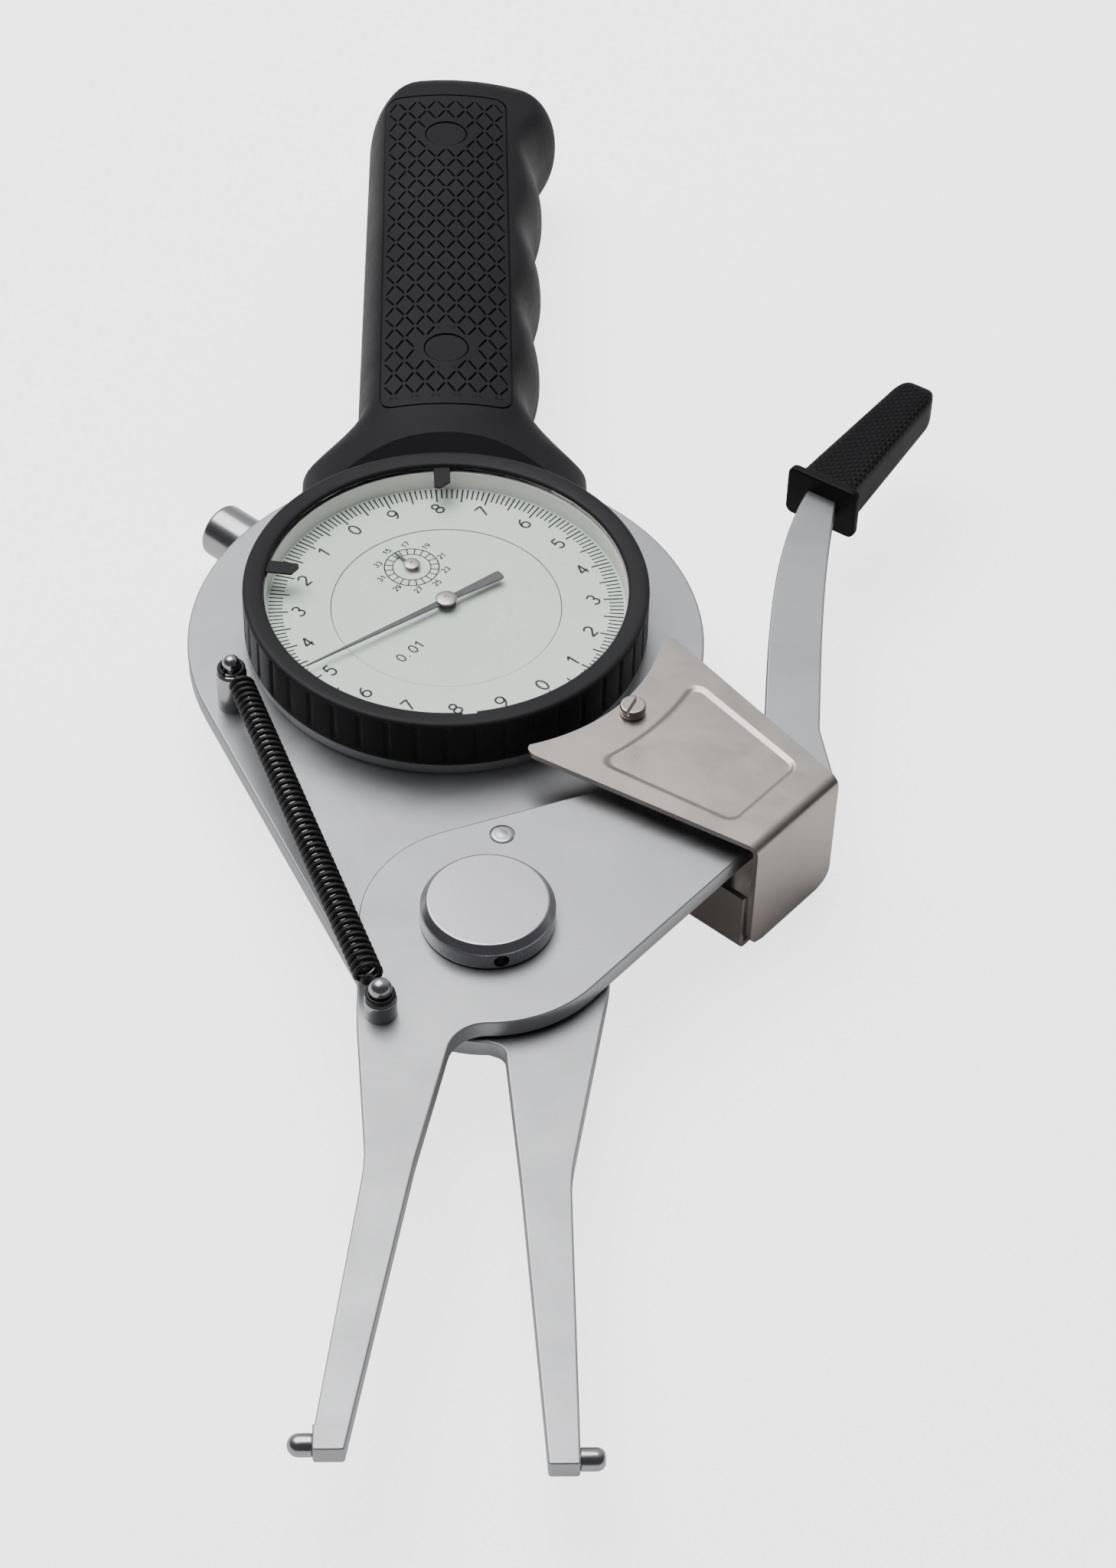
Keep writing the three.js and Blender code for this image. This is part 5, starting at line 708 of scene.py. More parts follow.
def arm_outline():
    """Left leg, hub, arm and lever, about the pivot at (0, 0)."""
    left, right, end = lever_edges()
    back_radius, front_radius = 16.3, 17.2
    back_angle, front_angle = RAD(20), RAD(48.3)
    front_normal, back_normal = front_angle - PI / 2, back_angle + PI / 2
    front, back = polar(front_radius, front_normal), polar(back_radius, back_normal)
    corner = (45.8, front[1] + (45.8 - front[0]) * math.tan(front_angle))
    meet = left[0][0] - LEVER_WIDTH / 4
    outer = -JAW_OPENING / 2 + CONTACT_LENGTH - PIVOT[0]
    hub = (0.0, 0.0)
    fillet, bearing = nook(np.array([-9.0, -LEG_KNEE]), np.array([-4.8, -20.0]), front_radius, 5.0)
    return rounded([
        (outer, -LEG_END, 0.4), (outer + LEG_TIP_WIDTH, -LEG_END, 0.4),
        (-9.0, -LEG_KNEE, KNEE_ROUND), *fillet, *arc(hub, front_radius, bearing, front_normal)[1:],
        (*corner, 0.4), (*right[0], 2 * KNEE_ROUND), *right[1:],
        *[(*spot, TONGUE_WIDTH / 4) for spot in end], *left[::-1],
        (meet, back[1] + (meet - back[0]) * math.tan(back_angle), 6.0),
        *arc(hub, back_radius, back_normal, PI),
        (-back_radius, -back_radius, KNEE_ROUND), (-14.9, -LEG_KNEE, KNEE_ROUND),
        (outer + 0.2, -LEG_END + 3.4), (outer, -LEG_END + 3.4),
    ])


ANVIL_RADIUS, CONTACT_POINT_END, CONTACT_GAP = 2.0, 47.3, 0.3
ANVIL_AT = polar(CONTACT_POINT_END + CONTACT_GAP + ANVIL_RADIUS, COVER_AXIS)
post_from_pivot = np.array([[*(polar(COVER_POST_AT, COVER_AXIS) - PIVOT), 0.0]])
POST_CLOSED = spun((post_from_pivot, []), -SWING)[0][0]

dress("main_plate", plate(main_outline(), MAIN_BOTTOM, MAIN_TOP,
                          holes=[circle(25.25, count=120), stop_slot(), circle(4.05, PIVOT)]))
arm_part = plate(arm_outline() + PIVOT, ARM_BOTTOM, ARM_TOP, holes=[circle(4.08, PIVOT)])
relief = plate(circle(2 + 1.5 * SHEET, PIVOT + POST_CLOSED[:2], 40), ARM_BOTTOM - 2, ARM_TOP + 2)
STOP_PIN_AT = PIVOT + STOP_PIN
pin_gap = turned([(1.5, ARM_TOP - 0.5), (1.66, ARM_TOP - 0.5), (1.72, ARM_TOP + 1),
                  (1.5, ARM_TOP + 1)], 48)
dress("moving_plate", arm_part, cutters=[relief, spun(pin_gap, 0, (*STOP_PIN_AT, 0))])


def contact(end, tip):
    """A stud, then a pin whose end rounds off as tip + (r - tip) cos a over its last part."""
    a = np.linspace(0, PI / 2, 9)
    dome = np.column_stack([tip + (CONTACT_RADIUS - tip) * np.cos(a),
                            CONTACT_LENGTH - end + end * np.sin(a)])
    return turned([(0, -1.8), (0.7, -1.8), (0.7, 0), (CONTACT_RADIUS - 0.1, 0), (CONTACT_RADIUS, 0.1),
                   *dome, (0, CONTACT_LENGTH)], 40)


JAW_Y = PIVOT[1] - JAW_REACH
dress("fixed_contact", laid(contact(CONTACT_RADIUS * 0.8, 0.5), 0,
                            (JAW_OPENING / 2 - CONTACT_LENGTH, JAW_Y, MAIN_MIDDLE)))
dress("moving_contact", laid(contact(CONTACT_RADIUS, 0.0), PI,
                             (-JAW_OPENING / 2 + CONTACT_LENGTH, JAW_Y, ARM_MIDDLE)))

# Pivot, pins and posts
dress("pivot_bolt", spun(lathed([(0, 8.4), (7.5, 8.4), (7.5, MAIN_BOTTOM), (4, MAIN_BOTTOM), (4, 19),
                                 (0, 19)], 0.45), 0, (*PIVOT, 0)))
refine("pivot_washer")
KNOB_BOTTOM, KNOB_TOP, KNOB_RADIUS = ARM_TOP + 0.2, ARM_TOP + 3.7, 8.6
PIN_HOLE_WAY, PIN_HOLE_DEPTH = RAD(-79), 2.4
knob = softened([(4.05, KNOB_BOTTOM), (KNOB_RADIUS, KNOB_BOTTOM), (KNOB_RADIUS, KNOB_TOP - 1.1),
                 (KNOB_RADIUS - 0.85, KNOB_TOP), (0, KNOB_TOP)], 0.18)
knob = np.vstack([knob, [(0, KNOB_TOP - 1.2), (4.05, KNOB_TOP - 1.2), (4.05, KNOB_BOTTOM)]])
hole_at = (*polar(KNOB_RADIUS - PIN_HOLE_DEPTH, PIN_HOLE_WAY, PIVOT), KNOB_BOTTOM + 1.2)
dress("pivot_knob", spun(turned(knob, 96, closed=False), 0, (*PIVOT, 0)), KNOB_FINISH,
      cutters=[laid(turned([(0, 0), (1, 0), (1, 5), (0, 5)], 32), PIN_HOLE_WAY, hole_at)])
pin = turned([(0, 12), (1.48, 12), (1.48, 16.68), (1.4, 16.8), (1.2, 16.86), (1.0, 16.84),
              (0.5, 16.9), (0, 16.92)], 48)
dress("stop_pin", spun(pin, 0, (*STOP_PIN_AT, 0)))
dress("anvil_pin", spun(lathed([(0, 3.6), (ANVIL_RADIUS, 3.6), (ANVIL_RADIUS, ARM_TOP + 0.02),
                                (0, ARM_TOP + 0.02)], 0.2), 0, (*ANVIL_AT, 0)))


def spring_post(seat, dome, top):
    """A straight base with a bevel, a neck for the hook, and a ball r (cos a, sin a) on the neck."""
    a = np.linspace(RAD(-38), PI / 2, 18)
    centre = top - dome
    ball = np.column_stack([dome * np.cos(a), centre + dome * np.sin(a)])
    base = softened([(0, seat - 2.2), (1.25, seat - 2.2), (1.25, seat), (2.05, seat),
                     (2.05, SPRING_Z - 0.75), (1.7, SPRING_Z - 0.38), (1.05, SPRING_Z - 0.38),
                     (1.05, ball[0, 1])], 0.15)
    return turned(np.vstack([base, ball]), 56, closed=False)


dress("spring_post_upper", spun(spring_post(MAIN_TOP, 1.2, 22.1), 0, (*UPPER_POST, 0)))
dress("spring_post_lower", spun(spring_post(ARM_TOP, 1.46, 22.45), 0, (*LOWER_POST, 0)))


# Tension spring

HOOK, WIRE, CURLS = 1.58, 0.34, 52
COIL, COIL_GROWTH = 1.42, 0.16
HOOK_TO_COIL = 1.15
SIDE_STEP = 0.35
LINK_PULL = 1.6


def spring_line():
    """Hooks q + R (cos a, sin a), curls c + r (sin, cos) 2 pi t about a line, and cubic links."""
    upper, lower = np.array([*UPPER_POST, SPRING_Z]), np.array([*LOWER_POST, SPRING_Z])
    up = np.array([0.0, 0.0, 1.0])
    along = (lower - upper) / np.linalg.norm(lower - upper)
    across = np.cross(up, along)
    first = HOOK + HOOK_TO_COIL
    length = np.linalg.norm(lower - upper) - 2 * first
    a = np.linspace(RAD(300), RAD(20), 50)[:, None]
    hook_up = upper + HOOK * (along * np.cos(a) + across * np.sin(a))
    a = a[::-1]
    hook_down = lower + HOOK * (-along * np.cos(a) - across * np.sin(a))
    t = np.linspace(0, CURLS, CURLS * 16 + 1)[:, None]
    ease = np.minimum(1, np.minimum(t + 0.3, CURLS - t + 0.3))
    share = t / CURLS
    radius = (COIL + COIL_GROWTH * share) * ease
    coil = (upper + along * (first + length * t / CURLS) + across * SIDE_STEP * (1 - 2 * share)
            + radius * (across * np.sin(2 * PI * t) + up * np.cos(2 * PI * t)))
    turn, curl = -across * LINK_PULL, across * LINK_PULL + along * 0.5
    top = hermite(hook_up[-1], coil[0], turn, curl)
    low = hermite(coil[-1], hook_down[0], curl, turn)
    line = np.vstack([hook_up, top, coil, low, hook_down])
    share = np.concatenate([np.zeros(len(hook_up)), np.linspace(0, 1, len(top)), np.ones(len(coil)),
                            np.linspace(1, 0, len(low)), np.zeros(len(hook_down))])[:, None]
    return line, share * along + (1 - share) * up


def hermite(p, q, u, v, count=9):
    """Points between p and q of the cubic with end speeds u and v."""
    t = np.linspace(0, 1, count)[1:-1, None]
    return ((2 * t ** 3 - 3 * t ** 2 + 1) * p + (t ** 3 - 2 * t ** 2 + t) * u
            + (3 * t ** 2 - 2 * t ** 3) * q + (t ** 3 - t ** 2) * v)


def tube(line, guide, radius, sides=12):
    """A wire P + r (n cos a + b sin a), n being the guide square to the line; domed ends."""
    way = np.gradient(line, axis=0)
    way /= np.linalg.norm(way, axis=1)[:, None]
    n = guide - (guide * way).sum(1)[:, None] * way
    n /= np.linalg.norm(n, axis=1)[:, None]
    b = np.cross(way, n)
    ends = [(line[:1] - way[:1] * d, n[:1], b[:1], r) for d, r in ((0.35, 0.0), (0.25, 0.6))]
    tails = [(line[-1:] + way[-1:] * d, n[-1:], b[-1:], r) for d, r in ((0.25, 0.6), (0.35, 0.0))]
    parts = [*ends, (line, n, b, 1.0), *tails]
    a = np.arange(sides) * 2 * PI / sides
    c, s = np.cos(a)[:, None], np.sin(a)[:, None]
    rings = np.concatenate([p[:, None] + radius * r * (m[:, None] * c + k[:, None] * s)
                            for p, m, k, r in parts])
    return rings.reshape(-1, 3), [grid_faces(len(rings), sides, around=True)]


spring = add("tension_spring_finished", tube(*spring_line(), WIRE), FINISHES["black_wire"], None,
             "black_wire", ["tension_spring"], sharp=60, rides=False)
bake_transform(spring)


# Trigger grip

def grip():
    """Sections (w sgn(c)|c|^k, h sgn(s)|s|^k) along the grip, w and h closing at the round tip."""
    length, flange, tip_start, tip_length = 30.2, 1.3, 25.4, 4.8
    u = np.concatenate([np.linspace(flange - 0.1, tip_start, 40),
                        tip_start + tip_length * np.sin(np.linspace(0, PI / 2, 24)[1:])])[:, None]
    tip = np.clip((u - tip_start) / tip_length, 0, 1)
    w = (4.45 - 1.25 * u / tip_start) * np.sqrt(1 - tip ** 2)
    h = 3.7 * (1 - 0.2 * u / length) * (1 - tip ** 5)
    a = (np.arange(96) * 2 * PI / 96)[None]
    c, s = np.cos(a), np.sin(a)
    across = w * np.sign(c) * np.abs(c) ** 0.32
    rise = h * np.sign(s) * np.abs(s) ** 0.32
    grid = np.stack([-rise, across, np.broadcast_to(u, across.shape)], -1)
    base = np.stack([-rise[0] * 0, across[0] * 0, np.full(96, u[0, 0])], -1)[None]
    grid = np.concatenate([base, grid])
    body = (grid.reshape(-1, 3), [grid_faces(len(grid), 96, around=True)])
    collar = rounded([(x * 4.15, y * 5.7, 1.2) for x, y in SQUARE])
    collar = plate(collar, 0, flange, 0.3)
    return together(body, collar)


dress("trigger_grip", laid(grip(), GRIP_DIRECTION, (*LEVER_FOOT, ARM_MIDDLE)), GRIP_FINISH)

# Indicator case, back, stem and rear cap
dress("indicator_case", lathed([(22.8, 1.5), (25.2, 1.5), (25.2, MAIN_TOP), (27.3, MAIN_TOP),
                                (27.3, 15.15), (25.35, 15.15), (25.35, 17.3), (23.7, 17.3),
                                (23.7, 12.8), (22.8, 12.8)], 0.15, 144))
BACK_SCREWS = [polar(18, INDICATOR_AXIS + PI / 2 * (i + 0.5)) for i in range(4)]
dress("case_back", lathed([(0, 0), (25.2, 0), (25.2, 1.5), (0, 1.5)], 0.35, 144),
      cutters=[spun(turned([(0, -1), (1.35, -1), (1.35, 0.8), (0, 0.8)], 32), 0, (*at, 0))
               for at in BACK_SCREWS])


def box(x, y, z):
    """A block between two bounds on each axis."""
    outline = np.array([(x[0], y[0]), (x[1], y[0]), (x[1], y[1]), (x[0], y[1])], float)
    points = np.vstack([np.column_stack([outline, np.full(4, level)]) for level in z])
    ring = np.arange(4)
    after = (ring + 1) % 4
    return points, [np.column_stack([ring, after, after + 4, ring + 4]),
                    np.array([[3, 2, 1, 0], [4, 5, 6, 7]])]


def slot_cutter(radius, z, angle, at, width=0.45):
    """A bar across a screw's head."""
    return spun(box((-radius - 1, radius + 1), (-width / 2, width / 2), z), angle, (*at, 0))


for number, at in enumerate(BACK_SCREWS, 1):
    dress(f"case_back_screw_{number}", spun(lathed([(0, 0.25), (1.3, 0.25), (1.3, 0.75), (0, 0.75)],
                                                   0.15, 32), 0, (*at, 0)),
          cutters=[slot_cutter(1.3, (-1, 0.55), 0.6 * number, at)])
dress("stem", laid(lathed([(2.08, 22.4), (3.2, 22.4), (3.2, 25.4), (4, 25.4), (4, 29.6), (2.08, 29.6)],
                          0.2), COVER_AXIS, (0, 0, SPINDLE_Z)))
dress("rear_cap", laid(lathed([(0, 22.4), (3.2, 22.4), (3.2, 25.4), (4, 25.4), (4, 44.2), (0, 44.2)],
                              0.5), INDICATOR_AXIS, (0, 0, SPINDLE_Z)))

# Movement and handle screws, whose CAD shapes are right as they are
for inner in ("drive_wheel", "counter_wheel", "centre_arbor", "movement_plate", "movement_bridge",
              "spindle", "handle_screw_upper", "handle_screw_lower"):
    refine(inner)
dress("contact_point", laid(lathed([(0, 0), (2.4, 0), (2.4, 2.5), (1.2, 3.75), (1.2, 6.6), (0.8, 7.3),
                                    (0, 7.5)], 0.3, 40), COVER_AXIS,
                            (*polar(39.8, COVER_AXIS), SPINDLE_Z)))

# Dial faces and their print
INNER_TOP = DIAL_TOP - 0.08
dress("dial_ring", lathed([(15.9, 18.05), (25.2, 18.05), (25.2, DIAL_TOP), (15.9, DIAL_TOP)],
                          0.06, 180))
dress("inner_dial", lathed([(0, 17.97), (15.8, 17.97), (15.8, INNER_TOP), (0, INNER_TOP)], 0.08, 180))
dress("dial_spacer", lathed([(24.7, DIAL_TOP), (25.2, DIAL_TOP), (25.2, CRYSTAL_BOTTOM),
                             (24.7, CRYSTAL_BOTTOM)], 0.08, 180))

INK_HEIGHT = 0.02
NUMERAL_RADIUS, NUMERAL_HEIGHT, NUMERAL_STROKE = 20.25, 1.95, 0.3
COUNT_RADIUS, COUNT_HEIGHT, COUNT_STROKE = 4.75, 0.8, 0.17
COUNT_START, COUNT_FIRST = RAD(137.5), 15
LETTER_STEP = 0.82


def ticks():
    """Bars from r0 to r1 along each angle: centre line r (cos a, sin a), to each side by w/2."""
    count = 200
    a = ZERO_ANGLE + np.arange(count) * 2 * PI / count
    fifth = np.arange(count) % 5 == 0
    r0 = np.where(fifth, 0.887, 0.919) * TICK_RADIUS
    half = np.where(fifth, 0.13, 0.115)
    along = np.stack([np.cos(a), np.sin(a)], -1)
    side = np.stack([-np.sin(a), np.cos(a)], -1)
    corners = [along * r[:, None] + side * (sign * half)[:, None]
               for r, sign in ((r0, -1), (np.full(count, TICK_RADIUS), -1),
                               (np.full(count, TICK_RADIUS), 1), (r0, 1))]
    flat = np.stack(corners, 1)
    low = np.concatenate([flat, np.full((count, 4, 1), DIAL_TOP - 0.005)], 2)
    high = np.concatenate([flat, np.full((count, 4, 1), DIAL_TOP + INK_HEIGHT)], 2)
    points = np.concatenate([low, high], 1).reshape(-1, 3)
    base = (np.arange(count) * 8)[:, None, None]
    cube = np.array([[3, 2, 1, 0], [4, 5, 6, 7], [0, 1, 5, 4], [1, 2, 6, 5], [2, 3, 7, 6],
                     [3, 0, 4, 7]])
    return points, [(base + cube[None]).reshape(-1, 4)]


def oval(x, y, across, upright, start, stop):
    """Points (x + a cos t, y + b sin t) from start to stop in degrees."""
    t = np.radians(np.linspace(start, stop, 3 + round(abs(stop - start) / 12)))
    return np.column_stack([x + across * np.cos(t), y + upright * np.sin(t)])


STROKES = {
    "0": [oval(0.3, 0.5, 0.3, 0.5, 0, 360)],
    "1": [[(0.1, 0.72), (0.4, 1.02)], [(0.38, 1), (0.38, 0)]],
    "2": [np.vstack([oval(0.3, 0.71, 0.28, 0.29, 165, -30), [(0.03, 0)]]), [(0, 0), (0.6, 0)]],
    "3": [oval(0.29, 0.76, 0.25, 0.24, 150, -85), oval(0.29, 0.27, 0.29, 0.27, 85, -155)],
    "4": [[(0.45, 0), (0.45, 1)], [(0.45, 1), (0, 0.3)], [(0, 0.3), (0.62, 0.3)]],
    "5": [[(0.55, 1), (0.1, 1)], [(0.12, 1), (0.06, 0.53)], oval(0.28, 0.32, 0.3, 0.32, 140, -150)],
    "6": [oval(0.3, 0.3, 0.3, 0.3, 0, 360), oval(0.62, 0.3, 0.62, 0.7, 180, 105)],
    "7": [[(0, 1), (0.6, 1)], [(0.6, 1), (0.22, 0)]],
    "8": [oval(0.3, 0.76, 0.24, 0.24, 0, 360), oval(0.3, 0.26, 0.3, 0.26, 0, 360)],
    "9": [oval(0.3, 0.7, 0.3, 0.3, 0, 360), oval(-0.02, 0.7, 0.62, 0.7, 0, -75)],
    ".": [[(0.2, 0), (0.2, 0.12)]],
}


def label(text, height, centre, level, width):
    """Digits as flat bands p +- n w/2 along their strokes, upright along the indicator's axis."""
    parts = []
    for place, letter in enumerate(text):
        for path in STROKES[letter]:
            line = (np.array(path, float) - (0.3, 0.5)) * height
            line[:, 0] += (place - (len(text) - 1) / 2) * LETTER_STEP * height
            way = np.gradient(line, axis=0)
            way /= np.linalg.norm(way, axis=1)[:, None]
            side = np.column_stack([-way[:, 1], way[:, 0]]) * width / 2
            flat = np.stack([line + side, line - side])
            level_row = np.full((*flat.shape[:2], 1), level)
            parts.append(thick(np.concatenate([flat, level_row], 2), INK_HEIGHT))
    return spun(together(*parts), INDICATOR_AXIS - PI / 2, (*centre, 0.0))


def ring(radius, width, centre, level):
    """A thin printed circle."""
    part = turned([(radius - width / 2, level - 0.02), (radius + width / 2, level - 0.02),
                   (radius + width / 2, level), (radius - width / 2, level)], 96)
    return part[0] + np.array([*centre, 0.0]), part[1]


INNER_INK = INNER_TOP + INK_HEIGHT
numerals = [label(str(k % 10), NUMERAL_HEIGHT, polar(NUMERAL_RADIUS, ZERO_ANGLE + k * RAD(18)),
                  DIAL_TOP + INK_HEIGHT, NUMERAL_STROKE) for k in range(20)]
add("dial_scale", together(ticks(), *numerals), INK, "bezel", "hand_paint")
counts = [label(str(COUNT_FIRST + 2 * k), COUNT_HEIGHT,
                SUB_DIAL + polar(COUNT_RADIUS, COUNT_START - RAD(36) * k), INNER_INK, COUNT_STROKE)
          for k in range(10)]
bar = box((2.65, 3.8), (-0.085, 0.085), (INNER_INK - 0.02, INNER_INK))
bars = [spun(bar, COUNT_START - RAD(18) * k, (*SUB_DIAL, 0)) for k in range(20)]
plain = label("0.01", 1.45, (-4.9, -9.0), INNER_INK, 0.23)
add("inner_print", together(ring(3.8, 0.18, SUB_DIAL, INNER_INK), ring(2.65, 0.16, SUB_DIAL, INNER_INK),
                            *bars, *counts, plain), INK, "frame", "hand_paint")

# Bezel, with grooved wall and a notch in its lip
GROOVES, GROOVE_POINTS = 44, 18


def bezel():
    """A profile (r, z, f) carried round; r less f (0.06 g^2 + 0.22 s(g)), g = |2 frac - 1|."""
    wall = np.array([(27.3, 15.35, 0.0), (27.62, 15.42, 0.0), (27.8, 15.65, 0.0), (27.8, 16.0, 0.0),
                     (27.8, 16.2, 0.5), (27.8, 16.35, 1.0), (27.8, 18.0, 1.0), (27.8, 22.0, 1.0),
                     (27.8, 22.15, 0.9), (27.8, 22.35, 0.5), (27.78, 22.52, 0.0)])
    rim = np.array([(27.7, 22.72), (27.52, 22.87), (27.25, 22.94), (26.9, 22.95), (25.6, 22.86),
                    (25.3, 22.8), (25.12, 22.72), (25.0, 22.58), (24.9, 22.36), (25.7, 22.34),
                    (25.7, CRYSTAL_TOP), (25.25, CRYSTAL_TOP), (25.25, 18.05), (24.4, 18.05),
                    (24.4, 17.5), (25.45, 17.5), (25.45, 15.35)])
    profile = np.vstack([wall, np.column_stack([rim, np.zeros(len(rim))])])
    count = GROOVES * GROOVE_POINTS
    g = np.abs(2 * (np.arange(count) % GROOVE_POINTS) / GROOVE_POINTS - 1)
    dip = 0.06 * g ** 2 + 0.22 * smooth(0.74, 0.96, g)
    a = np.arange(count) * 2 * PI / count
    r = profile[:, :1] - profile[:, 2:] * dip[None]
    points = np.stack([r * np.cos(a), r * np.sin(a), np.repeat(profile[:, 1:2], count, 1)], -1)
    return points.reshape(-1, 3), [grid_faces(len(profile), count, around=True, closed=True)]


notch = spun(box((24.0, 25.62), (-0.95, 0.95), (22.3, 24.0)), RAD(-83))
dress("bezel", bezel(), cutters=[notch], sharp=40)

frame["nodes"]["crystal"].data.materials.clear()
frame["nodes"]["crystal"].data.materials.append(FINISHES["glass"])
MARKER_HALF, MARKER_OUTER = 1.15, 25.62
foot = math.sqrt(MARKER_OUTER ** 2 - MARKER_HALF ** 2)
for marker, angle, side, first, last in (("limit_marker_upper", 91.5, 1, 20.8, 21.85),
                                         ("limit_marker_left", 170.5, -1, 21.32, 20.8)):
    outline = np.array([(foot, -MARKER_HALF), (foot, MARKER_HALF), (first, MARKER_HALF),
                        (20.54, side * 0.35), (last, -MARKER_HALF)])
    dress(marker, spun(plate(outline, CRYSTAL_TOP + 0.04, CRYSTAL_TOP + 0.32, 0.05), RAD(angle)))


# Hands

def hand(tip, tip_half, root_half, eye, tail, tail_half):
    """A tapered pointer along +X, a round eye and a wider tail."""
    lean = math.asin(root_half / eye)
    hub = (0.0, 0.0)
    return rounded([
        (-tail, -tail_half, tail_half / 2), (-eye, -root_half),
        *arc(hub, eye, -PI + lean, -lean, RAD(12)), (tip, -tip_half), (tip, tip_half),
        *arc(hub, eye, lean, PI - lean, RAD(12)), (-eye, root_half),
        (-tail, tail_half, tail_half / 2),
    ])


def hand_cap(radius, bottom, top):
    """A domed cap with a dimple: r cos^0.7 against a sine rise, on a straight foot."""
    a = np.linspace(0, RAD(75), 12)
    dome = np.column_stack([radius * np.cos(a) ** 0.7,
                            bottom + (top - bottom) * (0.3 + 0.7 * np.sin(a))])
    rim = radius * 0.2
    return turned([(0, bottom), (radius * 0.85, bottom), *dome, (rim, top), (rim * 0.8, top - 0.15),
                   (0, top - 0.2)], 48)


boss = lathed([(1.1, 18.75), (1.35, 18.75), (1.35, 19.1), (1.1, 19.1), (1.1, 19.47), (0.9, 19.47),
               (0.9, 18.75)], 0.08, 48)
pointer = plate(hand(22.9, 0.08, 0.5, 1.15, 9.3, 0.85), 19.45, 19.7, 0.05)
dress("main_hand", spun(together(pointer, boss), RAD(214.8)))
dress("main_hand_cap", hand_cap(1.5, 19.75, 20.15))
pointer = plate(hand(3.4, 0.11, 0.22, 0.8, 1.4, 0.22), 18.7, 18.95, 0.04)
dress("counter_hand", spun(pointer, RAD(133.5), (*SUB_DIAL, 0)))
dress("counter_hand_cap", spun(hand_cap(1.15, 19.0, 19.3), 0, (*SUB_DIAL, 0)))


# Sheet cover and its tray

def round_corner(first, second, size):
    """The lesser of two distances to edges, as r - hypot(r - p, r - q) in a corner of radius r."""
    return np.where((first < size) & (second < size), size - np.hypot(size - first, size - second),
                    np.minimum(first, second))


def cover():
    """Grid over the top, round the bend and down the flap; the sunk panel takes off 0.26 s(d)."""
    bend, columns, near, wide, narrow, arc_radius = 1.6, 161, 26.6, 15.2, 8.5, 31.0
    flat_end = COVER_END - bend
    t = np.linspace(-1, 1, columns)[None]
    half_at = lambda u: wide + (narrow - wide) * (u - near) / (COVER_END - near)
    q = np.concatenate([0.09 * np.linspace(0, 1, 12) ** 1.6, np.linspace(0.09, 1, 140)[1:]])[:, None]
    start = np.full((1, columns), 27.0)
    for _ in range(6):
        start = np.sqrt(arc_radius ** 2 - (t * np.minimum(half_at(start), 15.1)) ** 2)
    u = start + (flat_end - start) * q
    corner = np.clip(1 - (u - start) / 2.0, 0, 1)
    y = t * (half_at(u) - 1.4 * (1 - np.sqrt(1 - corner ** 2)))
    inner = 10 + (6.7 - 10) * (u - 35.6) / 20 - np.abs(y)
    inside = round_corner(round_corner(np.hypot(u, y) - 37.0, inner, 2.2), 55.6 - u, 1.4)
    z = COVER_TOP - 0.26 * smooth(-0.4, 0.4, inside)
    top = np.stack([u, y, z], -1)
    phi = np.linspace(0, PI / 2, 9)[1:, None]
    turn = np.stack(np.broadcast_arrays(flat_end + bend * np.sin(phi),
                                        t * half_at(flat_end + bend * np.sin(phi)),
                                        COVER_TOP - bend * (1 - np.cos(phi))), -1)
    fall = np.linspace(0, 1, 40)[1:, None]
    level = COVER_TOP - bend - (COVER_TOP - bend - FLAP_END) * fall
    round_off = np.clip((FLAP_END + FLAP_ROUND - level) / FLAP_ROUND, 0, 1)
    flap_half = narrow - FLAP_ROUND * (1 - np.sqrt(1 - round_off ** 2))
    flap = np.stack(np.broadcast_arrays(np.full_like(level, COVER_END), t * flap_half, level), -1)
    return thick(np.concatenate([top, turn, flap]), SHEET)


dress("cover", spun(cover(), COVER_AXIS), sharp=50)
POST_AT = polar(COVER_POST_AT, COVER_AXIS)
dress("cover_post", spun(lathed([(0.95, MAIN_TOP), (2, MAIN_TOP), (2, COVER_TOP - SHEET),
                                 (0.95, COVER_TOP - SHEET)], 0.12, 40), 0, (*POST_AT, 0)))
dress("cover_screw", spun(lathed([(0, MAIN_BOTTOM), (0.9, MAIN_BOTTOM), (0.9, COVER_TOP + 0.05),
                                  (1.75, COVER_TOP + 0.05), (1.75, 21.5), (0, 21.5)], 0.25, 48), 0,
                          (*POST_AT, 0)), cutters=[slot_cutter(1.75, (20.75, 23), RAD(64), POST_AT)])


TRAY_ARC, TRAY_END = 26.0, 60.2


def tray():
    """A U of two walls and a floor with bent corners, from the arc by the case to the nose."""
    half, low, high, bend = 9.4, 0.7, 10.4, 1.2
    a = np.linspace(PI, 1.5 * PI, 8)
    left = np.column_stack([-half + bend + bend * np.cos(a), low + bend + bend * np.sin(a)])
    right = left[::-1] * (-1, 1)
    bottom = np.column_stack([np.linspace(-7.9, 7.9, 24), np.full(24, low)])
    section = np.vstack([[(-half, high)], left, bottom, right, [(half, high)]])
    v, z = section[None, :, 0], section[None, :, 1]
    start = np.sqrt(TRAY_ARC ** 2 - v ** 2)
    u = start + (TRAY_END - start) * np.linspace(0, 1, 16)[:, None]
    return thick(np.stack(np.broadcast_arrays(u, v, z), -1), -SHEET)


